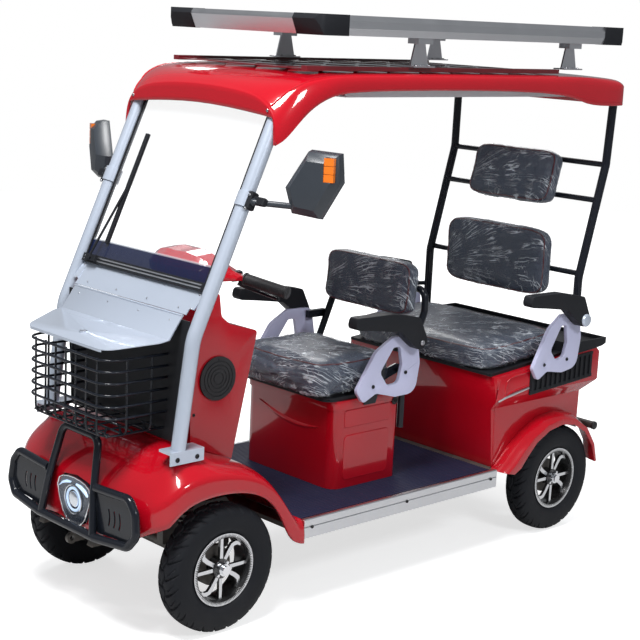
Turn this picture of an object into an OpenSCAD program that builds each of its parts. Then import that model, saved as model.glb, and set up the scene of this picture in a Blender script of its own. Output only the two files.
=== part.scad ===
// Roofed electric quadricycle with two rows of seats and a solar panel.
// Heights are above the ground. Lengthwise places are measured back from
// the front axle and shifted at the end, so that the middle of the
// vehicle's length is at zero. The left side is at positive X.

/* [Wheels] */
// Distance between the axles
wheelbase = 1560; // [1540:5:1570]
// Middle of each tyre, out from the centre line
track_half = 345; // [340:1:350]
// Outer radius of a tyre
tyre_r = 197; // [190:1:200]
// Width of a tyre
tyre_w = 90; // [80:1:92]
// Radius of the rim lip
rim_r = 112; // [106:1:116]
// Spoke pairs in a rim
spoke_pairs = 4; // [3:1:5]
// Kingpin out from the centre line
kingpin_x = 285; // [280:1:288]

/* [Body] */
// Wall of the moulded body panels
panel_wall = 5; // [4:0.5:6]
// Half width of the body over the fenders
body_half_w = 392; // [388:1:396]
// Top of the floor deck
deck_top = 285; // [280:1:290]
// Thickness of the floor mat
mat_t = 5; // [3:1:8]
// Half width of the floor deck
deck_half_w = 372; // [366:1:374]
// Half width of the steering column cover
column_half_w = 200; // [190:1:206]

/* [Roof] */
// Half width of the roof
roof_half_w = 400; // [395:1:405]
// Height of the roof's middle
roof_top = 1662; // [1655:1:1670]
// Radius of the windscreen posts
post_r = 22; // [20:1:24]
// Half width between the windscreen posts' axes
post_x = 330; // [326:1:334]
// Radius of the rear posts
rear_post_r = 15; // [13:1:17]
// Top of the solar panel frame
solar_top = 1824; // [1815:1:1835]
// Height of the solar panel frame
solar_h = 60; // [50:1:62]
// Half width of the solar panel
solar_half_w = 363; // [355:1:370]

/* [Front end] */
// Radius of the bumper tube
bumper_r = 13; // [11:1:15]
// Front of the basket
basket_front = -320; // [-325:1:-315]
// Half width of the basket
basket_half_w = 215; // [205:1:225]
// Bottom of the basket
basket_bottom = 604; // [600:1:608]
// Thickness of the basket wires
wire_t = 6; // [4:0.5:7]
// Height of the lid hinge
hinge_z = 957; // [950:1:962]
// Thickness of the lid sheet
sheet_t = 2.5; // [2:0.5:4]

/* [Seats] */
// Half width of the front seat box
seat_box_half_w = 225; // [215:1:228]
// Height of the front seat box top
seat_box_top = 590; // [580:1:596]
// Thickness of the front cushion
cushion_h = 125; // [110:1:135]
// Half width of the rear box at its top
rear_box_half_w = 375; // [370:1:378]
// Top of the rear box at its back
rear_box_top = 664; // [655:1:670]
// Back of the rear tray
tray_rear = 1810; // [1800:1:1815]

/* [Hidden] */
$fn = 48;

seat_gap = 0.3;          // between pieces that rest on each other
run_gap = 0.1;           // round a shaft that turns in its bore
mid_y = (basket_front + tray_rear) / 2;
axle_z = tyre_r;

// Lowest edge of the nose, and the row at which the body meets the deck
nose_low = 282;
body_rear = 312;

// Windscreen posts, foot to the bend to the top
post_foot = [post_x, -144, 578];
post_bend = [post_x, -101, 898];
post_top = [post_x, 190.5, 1552];
screen_lean = atan2(post_top.y - post_bend.y, post_top.z - post_bend.z);

// Lid hinge line
hinge_y = -98;
hinge_r = 4;

// Steering column axis and how far the handlebar stands from it
column_foot = [0, 0, 250];
column_head = [0, 150, 1040];
steer_arm = 95;
tie_rod_z = 236;
tie_rod_r = 7;

// Armrest pivots
front_arm_pivot = [287, 880, 771];
rear_arm_pivot = [410, 1581, 798];
pivot_r = 7;

// Tubes under the roof and the height of the rear cross tube
roof_rail_r = 12;
roof_rail_z = 1634;
roof_rail_x = 290;
header_r = 14;
rear_tube_z = 1624;

// Rear posts, from the tray to the roof
rear_post = [[366, 1627, 698], [366, 1627, 935], [366, 1734, 1340],
  [372, 1743, rear_tube_z - header_r - seat_gap]];

// A tube is this much fatter round its bends
bend_swell = 0.15;

function unit(v) = v / norm(v);
function mix(a, b, t) = a + (b - a) * t;

// Outline with rounded corners from rows of [x, y, radius]
function rounded_outline(corners, steps = 4) = [
  for (i = [0:len(corners) - 1])
    let (
      c = corners[i],
      here = [c[0], c[1]],
      before = corners[(i + len(corners) - 1) % len(corners)],
      after = corners[(i + 1) % len(corners)],
      u = unit([before[0], before[1]] - here),
      v = unit([after[0], after[1]] - here),
      half = acos(u * v) / 2,
      centre = here + unit(u + v) * c[2] / sin(half),
      start = here + u * c[2] / tan(half) - centre,
      way = u.x * v.y - u.y * v.x > 0 ? -1 : 1,
      from = atan2(start.y, start.x)
    )
    if (c[2] == 0) here
    else for (k = [0:steps])
      let (a = from + way * (180 - 2 * half) * k / steps)
      centre + c[2] * [cos(a), sin(a)]
];

// Whole section from the right half's [x, z], bottom up to the centre line
function whole(half) = concat(
  half,
  [for (i = [len(half) - 1:-1:0]) if (half[i].x > 0) [-half[i].x, half[i].y]]
);

// Copy on both sides of the centre line
module both_sides() {
  children();
  mirror([1, 0, 0]) children();
}

// Shift lengthwise so that the middle of the length is at zero
module placed() {
  translate([0, -mid_y, 0]) children();
}

// Solid through closed sections, each a list of [x, y, z]
module loft(sections) {
  n = len(sections[0]);
  m = len(sections);
  polyhedron(
    points = [for (s = sections) each s],
    faces = concat(
      [[for (j = [n - 1:-1:0]) j]],
      [for (i = [0:m - 2], j = [0:n - 1]) each [
        [i * n + j, i * n + (j + 1) % n, (i + 1) * n + (j + 1) % n],
        [i * n + j, (i + 1) * n + (j + 1) % n, (i + 1) * n + j]
      ]],
      [[for (j = [0:n - 1]) (m - 1) * n + j]]
    )
  );
}

// Open-bottomed shell through rows of [y, outer half, inner half]
module shell_loft(rows) {
  loft([for (r = rows)
    let (outside = whole(r[1]), inside = whole(r[2]), last = len(inside) - 1)
    [for (p = concat(outside, [for (k = [last:-1:0]) inside[k]])) [p.x, r[0], p.y]]]);
}

// Straight round bar from a to b
module rod(a, b, r) {
  d = b - a;
  translate(a) rotate([0, acos(d.z / norm(d)), atan2(d.y, d.x)])
    cylinder(r = r, h = norm(d));
}

// Quarter of a torus, or less, where a tube turns from direction u to v
module elbow(corner, u, v, r, bend) {
  turn = acos(u * v);
  out = -unit(v - u * (u * v));
  n = cross(out, u);
  c = corner - u * bend * tan(turn / 2) - out * bend;
  multmatrix([
    [out.x, u.x, n.x, c.x], [out.y, u.y, n.y, c.y], [out.z, u.z, n.z, c.z], [0, 0, 0, 1]
  ]) rotate_extrude(angle = turn) translate([bend, 0]) circle(r = r + bend_swell);
}

// Round tube through points, with bends of one radius
module bent_tube(p, r, bend) {
  last = len(p) - 1;
  cut = [for (i = [0:last]) (i == 0 || i == last) ? 0
    : bend * tan(acos(unit(p[i] - p[i - 1]) * unit(p[i + 1] - p[i])) / 2)];
  for (i = [0:last - 1]) {
    u = unit(p[i + 1] - p[i]);
    rod(p[i] + u * max(cut[i] - 1.5, 0), p[i + 1] - u * max(cut[i + 1] - 1.5, 0), r);
  }
  if (last > 1) for (i = [1:last - 1])
    elbow(p[i], unit(p[i] - p[i - 1]), unit(p[i + 1] - p[i]), r, bend);
}

// Plate of an outline in the Y-Z plane, from x0 to x1
module side_plate(outline, x0, x1) {
  translate([x0, 0, 0]) rotate([90, 0, 90]) linear_extrude(x1 - x0) polygon(outline);
}

// Plate of an outline in the X-Z plane, from y0 to y1
module cross_plate(outline, y0, y1) {
  translate([0, y1, 0]) rotate([90, 0, 0]) linear_extrude(y1 - y0) polygon(outline);
}

// Block between two corners
module block(a, b) {
  translate(a) cube(b - a);
}

// Cylinder along X
module pin_x(x0, x1, y, z, r) {
  translate([x0, y, z]) rotate([0, 90, 0]) cylinder(r = r, h = x1 - x0);
}

// Wheel pieces are drawn about the X axis at the origin, outer face at +X.
rim_half_w = 37;
bead_r = rim_r - 7;
hub_r = 30;
stub_r = 8;
wheel_places = [["fl", 1, 0], ["fr", -1, 0], ["rl", 1, wheelbase], ["rr", -1, wheelbase]];

// Put a wheel piece, drawn at the origin, at wheel number i
module at_wheel(i) {
  placed() translate([wheel_places[i][1] * track_half, wheel_places[i][2], axle_z])
    if (wheel_places[i][1] > 0) children(); else mirror([1, 0, 0]) children();
}

module tyre(i) {
  half = tyre_w / 2;
  outside = [
    [bead_r, 0, 0], [rim_r + 1.5, -1, 0], [rim_r + 12, half - rim_half_w - 1, 0],
    [tyre_r - 50, half - rim_half_w + 4.5, 0], [tyre_r - 28, half - rim_half_w + 3.5, 0],
    [tyre_r - 10, half - rim_half_w - 3, 0], [tyre_r - 2.5, half - rim_half_w - 16, 0]
  ];
  reach = [
    [bead_r + seat_gap, 31], [rim_r + 1.5, 32], [rim_r + 12, half - 4],
    [tyre_r - 55, half], [tyre_r - 30, half], [tyre_r - 12, half - 5],
    [tyre_r - 3, half - 15], [tyre_r, half - 28]
  ];
  inner = [
    [bead_r + seat_gap, 22], [rim_r + 14, half - 15], [tyre_r - 50, half - 11],
    [tyre_r - 26, half - 13], [tyre_r - 14, half - 26]
  ];
  color("#1b1b1d") at_wheel(i) rotate([0, 90, 0]) rotate_extrude($fn = 72)
    polygon(concat(
      reach,
      [for (k = [len(reach) - 1:-1:0]) [reach[k].x, -reach[k].y]],
      [for (k = [0:len(inner) - 1]) [inner[k].x, -inner[k].y]],
      [for (k = [len(inner) - 1:-1:0]) inner[k]]
    ));
}

// Rim with barrel, spokes in pairs of a straight and a hooked blade, hub and nuts
module rim(i) {
  face_x = 12;
  spoke_t = 11;
  barrel = [
    [bead_r, -33], [rim_r, -34], [rim_r, -rim_half_w], [bead_r - 6, -rim_half_w],
    [bead_r - 9, -28], [bead_r - 9, 24], [bead_r - 5, rim_half_w], [rim_r, rim_half_w],
    [rim_r, 34], [bead_r, 33]
  ];
  straight = [[hub_r - 6, -6], [bead_r - 7, -5], [bead_r - 7, 5], [hub_r - 6, 6]];
  hooked = [
    [hub_r - 8, 4], [58, 16], [76, 19], [86, 13], [bead_r - 14, 2], [bead_r - 7, 5],
    [bead_r - 8, 16], [88, 27], [74, 33], [56, 29], [hub_r - 9, 16]
  ];
  color("#c9ccd0") at_wheel(i) {
    rotate([0, 90, 0]) rotate_extrude($fn = 72) polygon(barrel);
    for (k = [0:spoke_pairs - 1]) rotate([k * 360 / spoke_pairs, 0, 0]) {
      rotate([0, 90, 0]) translate([0, 0, face_x]) linear_extrude(spoke_t) polygon(straight);
      rotate([38, 0, 0]) rotate([0, 90, 0]) translate([0, 0, face_x])
        linear_extrude(spoke_t) polygon(hooked);
    }
    difference() {
      union() {
        pin_x(-10, face_x + spoke_t + 3, 0, 0, hub_r);
        pin_x(face_x + spoke_t + 3, face_x + spoke_t + 18, 0, 0, 19);
        pin_x(face_x + spoke_t + 18, face_x + spoke_t + 26, 0, 0, 14);
        for (k = [0:3]) rotate([45 + k * 90, 0, 0])
          pin_x(face_x + spoke_t, face_x + spoke_t + 10, 24, 0, 4.5);
      }
      pin_x(-11, face_x + 8, 0, 0, stub_r + run_gap);
    }
  }
}

// Hub drum and stub shaft that a wheel turns on, drawn like the wheel
module stub(drum_back) {
  pin_x(drum_back, -12, 0, 0, 62);
  pin_x(-13, 17, 0, 0, stub_r);
}

// Steered knuckle: kingpin barrel, stub shaft, drum and steering arm
barrel_r = 14;
barrel_half_h = 34;
arm_top = tie_rod_z - tie_rod_r - seat_gap;
module knuckle(side) {
  color("#2a2b2e") placed() scale_side(side) {
    translate([kingpin_x, 0, axle_z - barrel_half_h]) cylinder(r = barrel_r, h = 2 * barrel_half_h);
    translate([track_half, 0, axle_z]) stub(-48);
    translate([0, 0, arm_top - 10]) linear_extrude(10) difference() {
      polygon([
        [kingpin_x - 9, 0], [kingpin_x - 32, steer_arm - 6], [kingpin_x - 28, steer_arm + 8],
        [kingpin_x - 12, steer_arm + 8], [kingpin_x - 8, steer_arm - 6], [kingpin_x + 9, 0]
      ]);
      translate([kingpin_x - 20, steer_arm]) circle(r = 4);
    }
  }
}

module scale_side(side) {
  if (side > 0) children(); else mirror([1, 0, 0]) children();
}

// Rod that joins the two steering arms
module tie_rod() {
  color("#3a3b3f") placed() {
    pin_x(-kingpin_x + 32, kingpin_x - 32, steer_arm, tie_rod_z, tie_rod_r);
    both_sides() translate([kingpin_x - 20, steer_arm, tie_rod_z - tie_rod_r])
      cylinder(r = 13, h = 2 * tie_rod_r);
  }
}

// Front beam axle, its yokes round the kingpins and its coil dampers
beam_r = 18;
module front_axle() {
  yoke = barrel_half_h + seat_gap;
  root = kingpin_x - 48;
  color("#26272a") placed() {
    pin_x(-root - 8, root + 8, 0, axle_z, beam_r);
    both_sides() {
      for (z = [axle_z + yoke, axle_z - yoke - 8]) translate([0, 0, z]) linear_extrude(8)
        round_tab(root, kingpin_x, 10);
      block([root, -10, axle_z - yoke - 8], [root + 18, 10, axle_z + yoke + 8]);
      block([95, -35, axle_z + 8], [125, 35, kick_z - seat_gap]);
      damper([190, 0, axle_z + 10], [188, 0, damper_top - seat_gap]);
    }
  }
}

// Tab from x0 to a round end about x1
module round_tab(x0, x1, half) {
  translate([x0, -half]) square([x1 - x0, 2 * half]);
  translate([x1, 0]) circle(r = half);
}

// Coil damper from its lower to its upper end: rod, body and coils
module damper(low, high) {
  u = unit(high - low);
  rod(low, high, 8);
  rod(low + u * 25, high - u * 60, 15);
  for (k = [0:6]) rod(low + u * (40 + k * 17), low + u * (46 + k * 17), 24);
  rod(low + u * 30, low + u * 35, 27);
  rod(low + u * 152, low + u * 157, 27);
}

// Rear axle tube with drums, motor block and dampers
rear_tube_r = 20;
module rear_axle() {
  color("#26272a") placed() translate([0, wheelbase, 0]) {
    pin_x(-track_half + 40, track_half - 40, 0, axle_z, rear_tube_r);
    both_sides() {
      translate([track_half, 0, axle_z]) stub(-45);
      block([115, -35, axle_z + 8], [145, 35, rail_low - seat_gap]);
      damper([225, 0, axle_z + 10], [225, 0, damper_top - seat_gap]);
    }
    difference() {
      union() {
        pin_x(-62, 62, 0, axle_z, 72);
        translate([0, 0, axle_z]) rotate([90, 0, 0]) cylinder(r = 58, h = 170);
      }
      pin_x(-63, 63, 0, axle_z, rear_tube_r - 1);
    }
    pin_x(-62, 62, 0, axle_z, rear_tube_r);
  }
}

// Frame: two rails that step up over the front axle, cross tubes, damper
// seats, column bush, rear guard bar and towing eyes
damper_top = 385;
rail_x = 130;
rail_w = 40;
rail_low = 222;
rail_high = deck_top - 15;
kick_z = 285;
kick_high = 325;
eye_r = 8;
eye_outer_r = 17;
eye_y = [-285, 1793];
module chassis() {
  half = rail_w / 2;
  between = rail_x - half - seat_gap;
  beside = rail_x + half + seat_gap;
  color("#1f2023") placed() {
    both_sides() {
      side_plate([[-236, kick_z], [150, kick_z], [190, rail_low], [1740, rail_low], [1740, rail_high],
        [232, rail_high], [190, kick_high], [-236, kick_high]], rail_x - half, rail_x + half);
      for (y = [330, 700, 1080, 1170])
        block([beside, y, rail_low + 8], [deck_half_w, y + 40, rail_high]);
      side_plate([[-200, 262], [-200, kick_z - seat_gap], [-236, kick_z - seat_gap], [-250, 278.5],
        [-300, 278.5], [-308, 262]], rail_x - half + 6, rail_x + half - 6);
      for (y = [0, wheelbase]) {
        block([beside, y - 14, damper_top], [y > 0 ? 237 : 212, y + 14, damper_top + 8]);
        block([beside, y - 14, y > 0 ? rail_low : kick_z], [beside + 8, y + 14, damper_top - seat_gap]);
      }
      block([beside, 1722, rail_low + 8], [275, 1740, rail_high]);
      block([255, 1722, rail_high + seat_gap], [275, 1740, 372]);
      block([259, 1740 + seat_gap, 346], [271, 1785 - guard_r - seat_gap, 374]);
    }
    for (y = [-225, 300, 620, 1000, 1280, 1690])
      let (front = y < 0)
      block([-between, y, front ? kick_z : rail_low + 5],
        [between, y + 34, front ? kick_high : rail_high]);
    block([-285, 1688, rail_high + seat_gap], [285, 1720, deck_top]);
    difference() {
      block([-between, -25, 295], [between, 45, 313]);
      rod(column_foot, column_head, shaft_r + run_gap);
    }
    pin_x(-372, 372, 1785, 360, guard_r);
    eye_plate(eye_y[0], -200);
    eye_plate(eye_y[1], 1724 + seat_gap);
  }
}

// Towing eye plate on the centre line, from its bore to where it is welded
guard_r = 14;
module eye_plate(bore_y, root_y) {
  difference() {
    union() {
      translate([-6, bore_y, 245]) rotate([0, 90, 0]) cylinder(r = eye_outer_r, h = 12);
      block([-6, min(bore_y, root_y), 232], [6, max(bore_y, root_y), 258]);
      if (bore_y < root_y) block([-6, root_y - 24, 232], [6, root_y, kick_z - seat_gap]);
    }
    translate([-7, bore_y, 245]) rotate([0, 90, 0]) cylinder(r = eye_r, h = 14);
  }
}

// Floor
floor_front = 250;
floor_rear = 1262;
rail_out = 387;
module floor_deck() {
  low = rail_high + seat_gap;
  color("#2a2b2f") placed() {
    block([-deck_half_w, floor_front, low], [deck_half_w, 1226, deck_top]);
    block([-340, 1200, low], [340, floor_rear, deck_top]);
  }
}

module floor_mat() {
  ribs = 60;
  half = deck_half_w - 4;
  pitch = 2 * half / ribs;
  top = deck_top + mat_t;
  color("#20243a") placed() cross_plate(
    concat(
      [[half, deck_top + seat_gap], [half, top]],
      [for (k = [ribs - 1:-1:1]) each [
        [-half + k * pitch + 3, top], [-half + k * pitch + 2, top - 1.5],
        [-half + k * pitch - 2, top - 1.5], [-half + k * pitch - 3, top]
      ]],
      [[-half, top], [-half, deck_top + seat_gap]]
    ), body_rear + 1, 1200);
}

module side_rails() {
  low = 228;
  high = deck_top + mat_t;
  x0 = deck_half_w + seat_gap;
  color("#b9bcc0") placed() both_sides() cross_plate([
    [x0, low], [rail_out, low], [rail_out, low + 34], [rail_out - 2, low + 36],
    [rail_out, low + 38], [rail_out, high - 3], [rail_out - 3, high], [x0, high]
  ], body_rear + seat_gap, 1222);
}

// Front body
// Rows of y, centre height, deck half width, fender crest [x, z],
// outer edge [x, z], lower outer edge z, lower inner corner [x, z]
nose_rows = [
  [-268, 432, 90, [165, 424], [232, 398], 340, [170, nose_low]],
  [-250, 468, 140, [275, 436], [342, 412], 350, [220, 284]],
  [-205, 528, 200, [320, 485], [380, 450], 366, [300, 330]],
  [-150, 572, 300, [352, 531], [body_half_w, 492], 426, [380, 424]],
  [-58, 572, 300, [352, 531], [body_half_w, 496], 437, [380, 437]],
  [0, 530, 250, [345, 516], [body_half_w, 490], 435, [380, 435]],
  [60, 507, 220, [338, 502], [body_half_w, 478], 428, [380, 428]],
  [115, 485, 205, [350, 490], [body_half_w, 458], 411, [380, 411]],
  [165, 466, 203, [366, 456], [body_half_w, 424], 382, [381, 382]],
  [212, 440, 203, [372, 400], [body_half_w, 376], 326, [382, 326]],
  [250, 394, 203, [374, 345], [body_half_w, 320], 240, [383, 240]],
  [290, 322, 203, [374, 300], [body_half_w, 268], 218, [383, 218]],
  [body_rear, deck_top + seat_gap + panel_wall, 203, [376, deck_top + seat_gap + panel_wall], [391, 262], 214,
    [384, 214]]
];
function nose_outside(r) = [r[6], [r[4].x, r[5]], r[4], r[3], [r[2], r[1]]];
function nose_inside(r) = let (w = panel_wall) [
  r[6] + [0, 3], [r[4].x - w, r[5] + 3], r[4] - [w, w / 2], r[3] - [w * 0.7, w],
  [r[2] - 1, r[1] - w]
];
module nose_shell() {
  front = nose_rows[0];
  behind = [for (k = [0:len(front) - 1]) mix(front[k], nose_rows[1][k], 1 / 3)];
  lip = [for (k = [0:4]) [(front[6].x - 5) * (1 - k / 5), nose_low + 1 + k]];
  shell_loft(concat(
    [[front[0], nose_outside(front), lip], [behind[0], nose_outside(behind), nose_inside(behind)]],
    [for (k = [1:len(nose_rows) - 1]) [nose_rows[k][0], nose_outside(nose_rows[k]), nose_inside(nose_rows[k])]]
  ));
}

lamp_y = -276;
lamp_outline = rounded_outline([
  [0, 277, 22], [52, 308, 26], [88, 392, 22], [62, 424, 16], [0, 432, 60],
  [-62, 424, 16], [-88, 392, 22], [-52, 308, 26]
]);
module front_body() {
  color("#b3121d") placed() difference() {
    nose_shell();
    cross_plate(rounded_outline([
      [0, 270, 22], [58, 306, 26], [94, 396, 22], [66, 430, 16], [0, 438, 60],
      [-66, 430, 16], [-94, 396, 22], [-58, 306, 26]
    ]), -290, -236);
    rod(mix(column_foot, column_head, 0.2), mix(column_foot, column_head, 0.5), 24);
  }
}

module headlamp() {
  color("#3a3d42") placed() {
    cross_plate(lamp_outline, lamp_y, -240);
    translate([0, lamp_y, 365]) rotate([90, 0, 0]) rotate_extrude()
      translate([34, 0]) circle(r = 5, $fn = 24);
    block([-60, -241, 298], [60, -225 - seat_gap, 320]);
  }
}

// Bumper: bottom bar, centre hoop and a side loop with its slotted plate
module bumper() {
  low_z = 292;
  front_y = -303;
  side = [[126, -285, 436], [290, -284, 446], [322, -285, 410], [332, -288, 345], [300, -294, low_z + 14],
    [150, front_y, low_z]];
  hoop = [[138, front_y, low_z], [118, -288, 414], [92, -254, 575]];
  color("#151618") placed() {
    bent_tube(concat(
      [for (p = side) [-p.x, p.y, p.z]],
      [for (k = [len(side) - 1:-1:0]) side[k]]
    ), bumper_r, 30);
    bent_tube(concat(
      [for (p = hoop) [-p.x, p.y, p.z]],
      [for (k = [len(hoop) - 1:-1:0]) hoop[k]]
    ), bumper_r - 1, 36);
    both_sides() difference() {
      translate([0, -14, 0]) slotted_plate();
      for (k = [0:2]) translate([200 + k * 26, 0, 365]) rotate([90, 0, 0])
        curved_slot();
    }
  }
}

module slotted_plate() {
  cross_plate(rounded_outline([
    [137, 302, 4], [292, 314, 20], [322, 348, 14], [314, 402, 14], [284, 438, 18], [124, 428, 4]
  ]), -273, -269);
}

module curved_slot() {
  translate([-60, 0, 200]) linear_extrude(100) intersection() {
    difference() {
      circle(r = 64);
      circle(r = 57);
    }
    polygon([[0, 0], [90, 42], [90, -42]]);
  }
}

// Steering column cover, a shell with a horn at its front top
column_side = [
  [2, 530, 0], [-8, 823, 30], [-11, 900, 8], [62, 992, 10], [98, 990, 8],
  [108, 920, 24], [142, 893, 10], [252, 862, 12], [165, 466.5, 0]
];
module front_column() {
  inner = [
    [8, 500, 0], [-2, 823, 26], [-5, 898, 6], [66, 984, 6], [92, 982, 6],
    [102, 914, 18], [140, 886, 8], [244, 856, 8], [158, 440, 0]
  ];
  color("#a5111c") placed() difference() {
    translate([0, 0, seat_gap]) side_plate(rounded_outline(column_side), -column_half_w, column_half_w);
    side_plate(rounded_outline(inner), -column_half_w + panel_wall, column_half_w - panel_wall);
    rod(mix(column_foot, column_head, 0.7), column_head, 30);
    both_sides() pin_x(column_half_w - 10, column_half_w + 10, 98, 731, speaker_r - 6);
  }
}

// Speaker covers on the column sides and the vents on the rear box
speaker_r = 68;
module grille_covers() {
  color("#17181a") placed() both_sides() {
    difference() {
      pin_x(column_half_w + seat_gap, column_half_w + 6, 98, 731, speaker_r);
      for (k = [0:3]) difference() {
        pin_x(column_half_w + 4, column_half_w + 7, 98, 731, 20 + k * 12);
        pin_x(column_half_w + 3, column_half_w + 8, 98, 731, 16 + k * 12);
      }
    }
    vent();
  }
}

module vent() {
  x0 = rear_box_half_w + seat_gap;
  side_plate([[1380, 536], [1731, 560], [1731, 572], [1380, 548]], x0, x0 + 8);
  side_plate([[1380, 631], [1731, 645], [1731, 654], [1380, 641]], x0, x0 + 8);
  side_plate([[1380, 536], [1731, 560], [1731, 654], [1380, 641]], x0, x0 + 3);
  for (k = [0:12]) translate([0, k * 27.5, k * 1.4])
    side_plate([[1384, 544], [1396, 545], [1396, 638], [1384, 636]], x0, x0 + 9);
}

// Silver sheet between the lid hinge and the windscreen rail
screen_rail_y = post_bend.y + (1034 - post_bend.z) * tan(screen_lean);
module front_plate() {
  color("#c3cbdd") placed() {
    side_plate([
      [hinge_y + 4, hinge_z + hinge_r + 1], [screen_rail_y - 4, 1024.4], [screen_rail_y - 4 + sheet_t, 1023.2],
      [hinge_y + 4 + sheet_t, hinge_z + hinge_r - 1]
    ], -283, 283);
    both_sides() side_plate([
      [hinge_y + 14, hinge_z + 22], [screen_rail_y - 4, 1024.4], [screen_rail_y - 4 + sheet_t, 1023.2],
      [hinge_y + 14 + sheet_t, hinge_z + 20]
    ], 283, post_x - post_r - seat_gap);
  }
}

// Lid: bent sheet on a long hinge with a centre lock
lid_half_w = 275;
lid_fold = [-146, 889];
lid_front = [basket_front + 1, 865];
module lid() {
  color("#c3cbdd") placed() {
    pin_x(-lid_half_w, lid_half_w, hinge_y, hinge_z + 1, hinge_r - 0.5);
    side_plate([
      [hinge_y - 2, hinge_z], lid_fold + [0, sheet_t], lid_fold + [4, 0], [hinge_y + 1, hinge_z - 2]
    ], -lid_half_w, lid_half_w);
    intersection() {
      side_plate([
        lid_fold + [0, sheet_t], lid_front + [0, sheet_t], lid_front + [0, -6],
        lid_front + [sheet_t, -6], lid_front + [sheet_t, 0], lid_fold + [4, 0]
      ], -lid_half_w, lid_half_w);
      translate([0, 0, 800]) linear_extrude(150) polygon(rounded_outline([
        [-lid_half_w, lid_fold.x + 10, 0], [-lid_half_w, lid_fold.x - 30, 20],
        [-lid_half_w + 70, lid_front.x - 1, 60], [lid_half_w - 70, lid_front.x - 1, 60],
        [lid_half_w, lid_fold.x - 30, 20], [lid_half_w, lid_fold.x + 10, 0]
      ]));
    }
    translate([0, lid_fold.x - 105, 868]) cylinder(r = 14, h = 12);
  }
}

// Basket of flat wires, in panels: front, two corners, two sides and floor
basket_top = 838;
basket_back_y = -99;
corner_r = 58;
ring_z = [for (k = [0:7]) 640 + k * (basket_top - 640 - wire_t) / 7];
module upright(x, y) {
  block([x - wire_t / 2, y - wire_t / 2, basket_bottom + 14], [x + wire_t / 2, y + wire_t / 2, basket_top]);
}

module basket() {
  xc = basket_half_w - corner_r;
  yc = basket_front + corner_r;
  t = wire_t;
  gap = 0.4;
  color("#121314") placed() {
    for (z = ring_z) block([-xc + gap, basket_front, z], [xc - gap, basket_front + t, z + t]);
    for (k = [-4:4]) upright(k * (xc - t) / 4, basket_front + t / 2);
    for (k = [-4:4]) block([k * (xc - t) / 4 - t / 2, basket_front, basket_bottom + 8],
      [k * (xc - t) / 4 + t / 2, basket_front + 22, basket_bottom + 14]);
    both_sides() {
      for (z = ring_z) translate([xc, yc, z]) rotate([0, 0, -90])
        rotate_extrude(angle = 90) translate([corner_r - t, 0]) square([t, t]);
      translate([xc, yc, 0]) rotate([0, 0, -45]) block(
        [corner_r - t, -t / 2, basket_bottom + 14], [corner_r, t / 2, basket_top]);
      for (z = ring_z) block([basket_half_w - t, yc + gap, z], [basket_half_w, basket_back_y, z + t]);
      for (k = [0:2]) upright(basket_half_w - t / 2, yc + 20 + k * 62);
      for (k = [0:2]) block([basket_half_w - 24, yc + 20 + k * 62 - t / 2, basket_bottom + 8],
        [basket_half_w, yc + 20 + k * 62 + t / 2, basket_bottom + 14]);
    }
    basket_floor();
  }
}

module basket_floor() {
  t = wire_t;
  z = basket_bottom;
  half = basket_half_w - 20;
  for (k = [0:8]) let (x = -half + k * half / 4)
    block([x - t / 2, basket_front + 14, z], [x + t / 2, basket_back_y, z + t]);
  for (k = [0:4]) block([-half, basket_front + 20 + k * 44, z], [half, basket_front + 20 + k * 44 + t, z + 7.6]);
}

// Black panel behind the basket
module basket_back() {
  half_top = post_x - post_r - seat_gap;
  color("#141517") placed() cross_plate([[-284, 572 + seat_gap], [284, 572 + seat_gap], [half_top, 800],
    [half_top, 946], [-half_top, 946], [-half_top, 800]], basket_back_y + seat_gap, basket_back_y + 4);
}

// Windscreen posts with their feet and mirror clamps
module front_posts() {
  color("#b9c4dc") placed() both_sides() {
    bent_tube([post_foot, post_bend, post_top], post_r, 160);
    block([post_x - 34, -187, 572 + seat_gap], [post_x + 22, -66, post_foot.z + 2]);
    difference() {
      block([post_x + 18, -187, 541], [post_x + 22, -66, post_foot.z + 2]);
      for (y = [-162, -91]) pin_x(post_x + 17, post_x + 23, y, 556, 6);
    }
    mirror_clamp();
  }
}

// Frame under the roof: header over the windscreen, two rails and cross tubes
module roof_frame() {
  header = [roof_rail_x, screen_top_y, screen_top_z];
  reach = post_x - post_r - seat_gap;
  color("#8f959f") placed() {
    both_sides() {
      bent_tube([header, [roof_rail_x, 330, roof_rail_z], [roof_rail_x, 1560, roof_rail_z],
        [roof_rail_x, 1743, rear_tube_z]], roof_rail_r, 60);
      for (y = [560, 1400]) block([roof_rail_x - 10, y - 15, roof_rail_z],
        [roof_rail_x + 10, y + 15, roof_top - panel_wall - 5 - seat_gap]);
    }
    pin_x(-reach, reach, header.y, header.z, header_r);
    for (y = foot_places) pin_x(-roof_rail_x, roof_rail_x, y, roof_rail_z, roof_rail_r - 2);
    pin_x(-376, 376, 1743, rear_tube_z, header_r);
  }
}

// Windscreen, drawn upright and leaned back about its lower rail
glass_low = 16;
glass_high = 574;
header_seat = header_r + seat_gap;
screen_top_y = screen_rail_y + (glass_high + header_seat) * sin(screen_lean);
screen_top_z = 1034 + (glass_high + header_seat) * cos(screen_lean);
glass_half_w = post_x - post_r - 10;
module leaned() {
  translate([0, screen_rail_y, 1034]) rotate([-screen_lean, 0, 0]) children();
}

module windscreen() {
  color([0.75, 0.85, 0.9, 0.4]) placed() leaned()
    block([-glass_half_w, -2, glass_low + seat_gap], [glass_half_w, 2, glass_high]);
}

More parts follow.
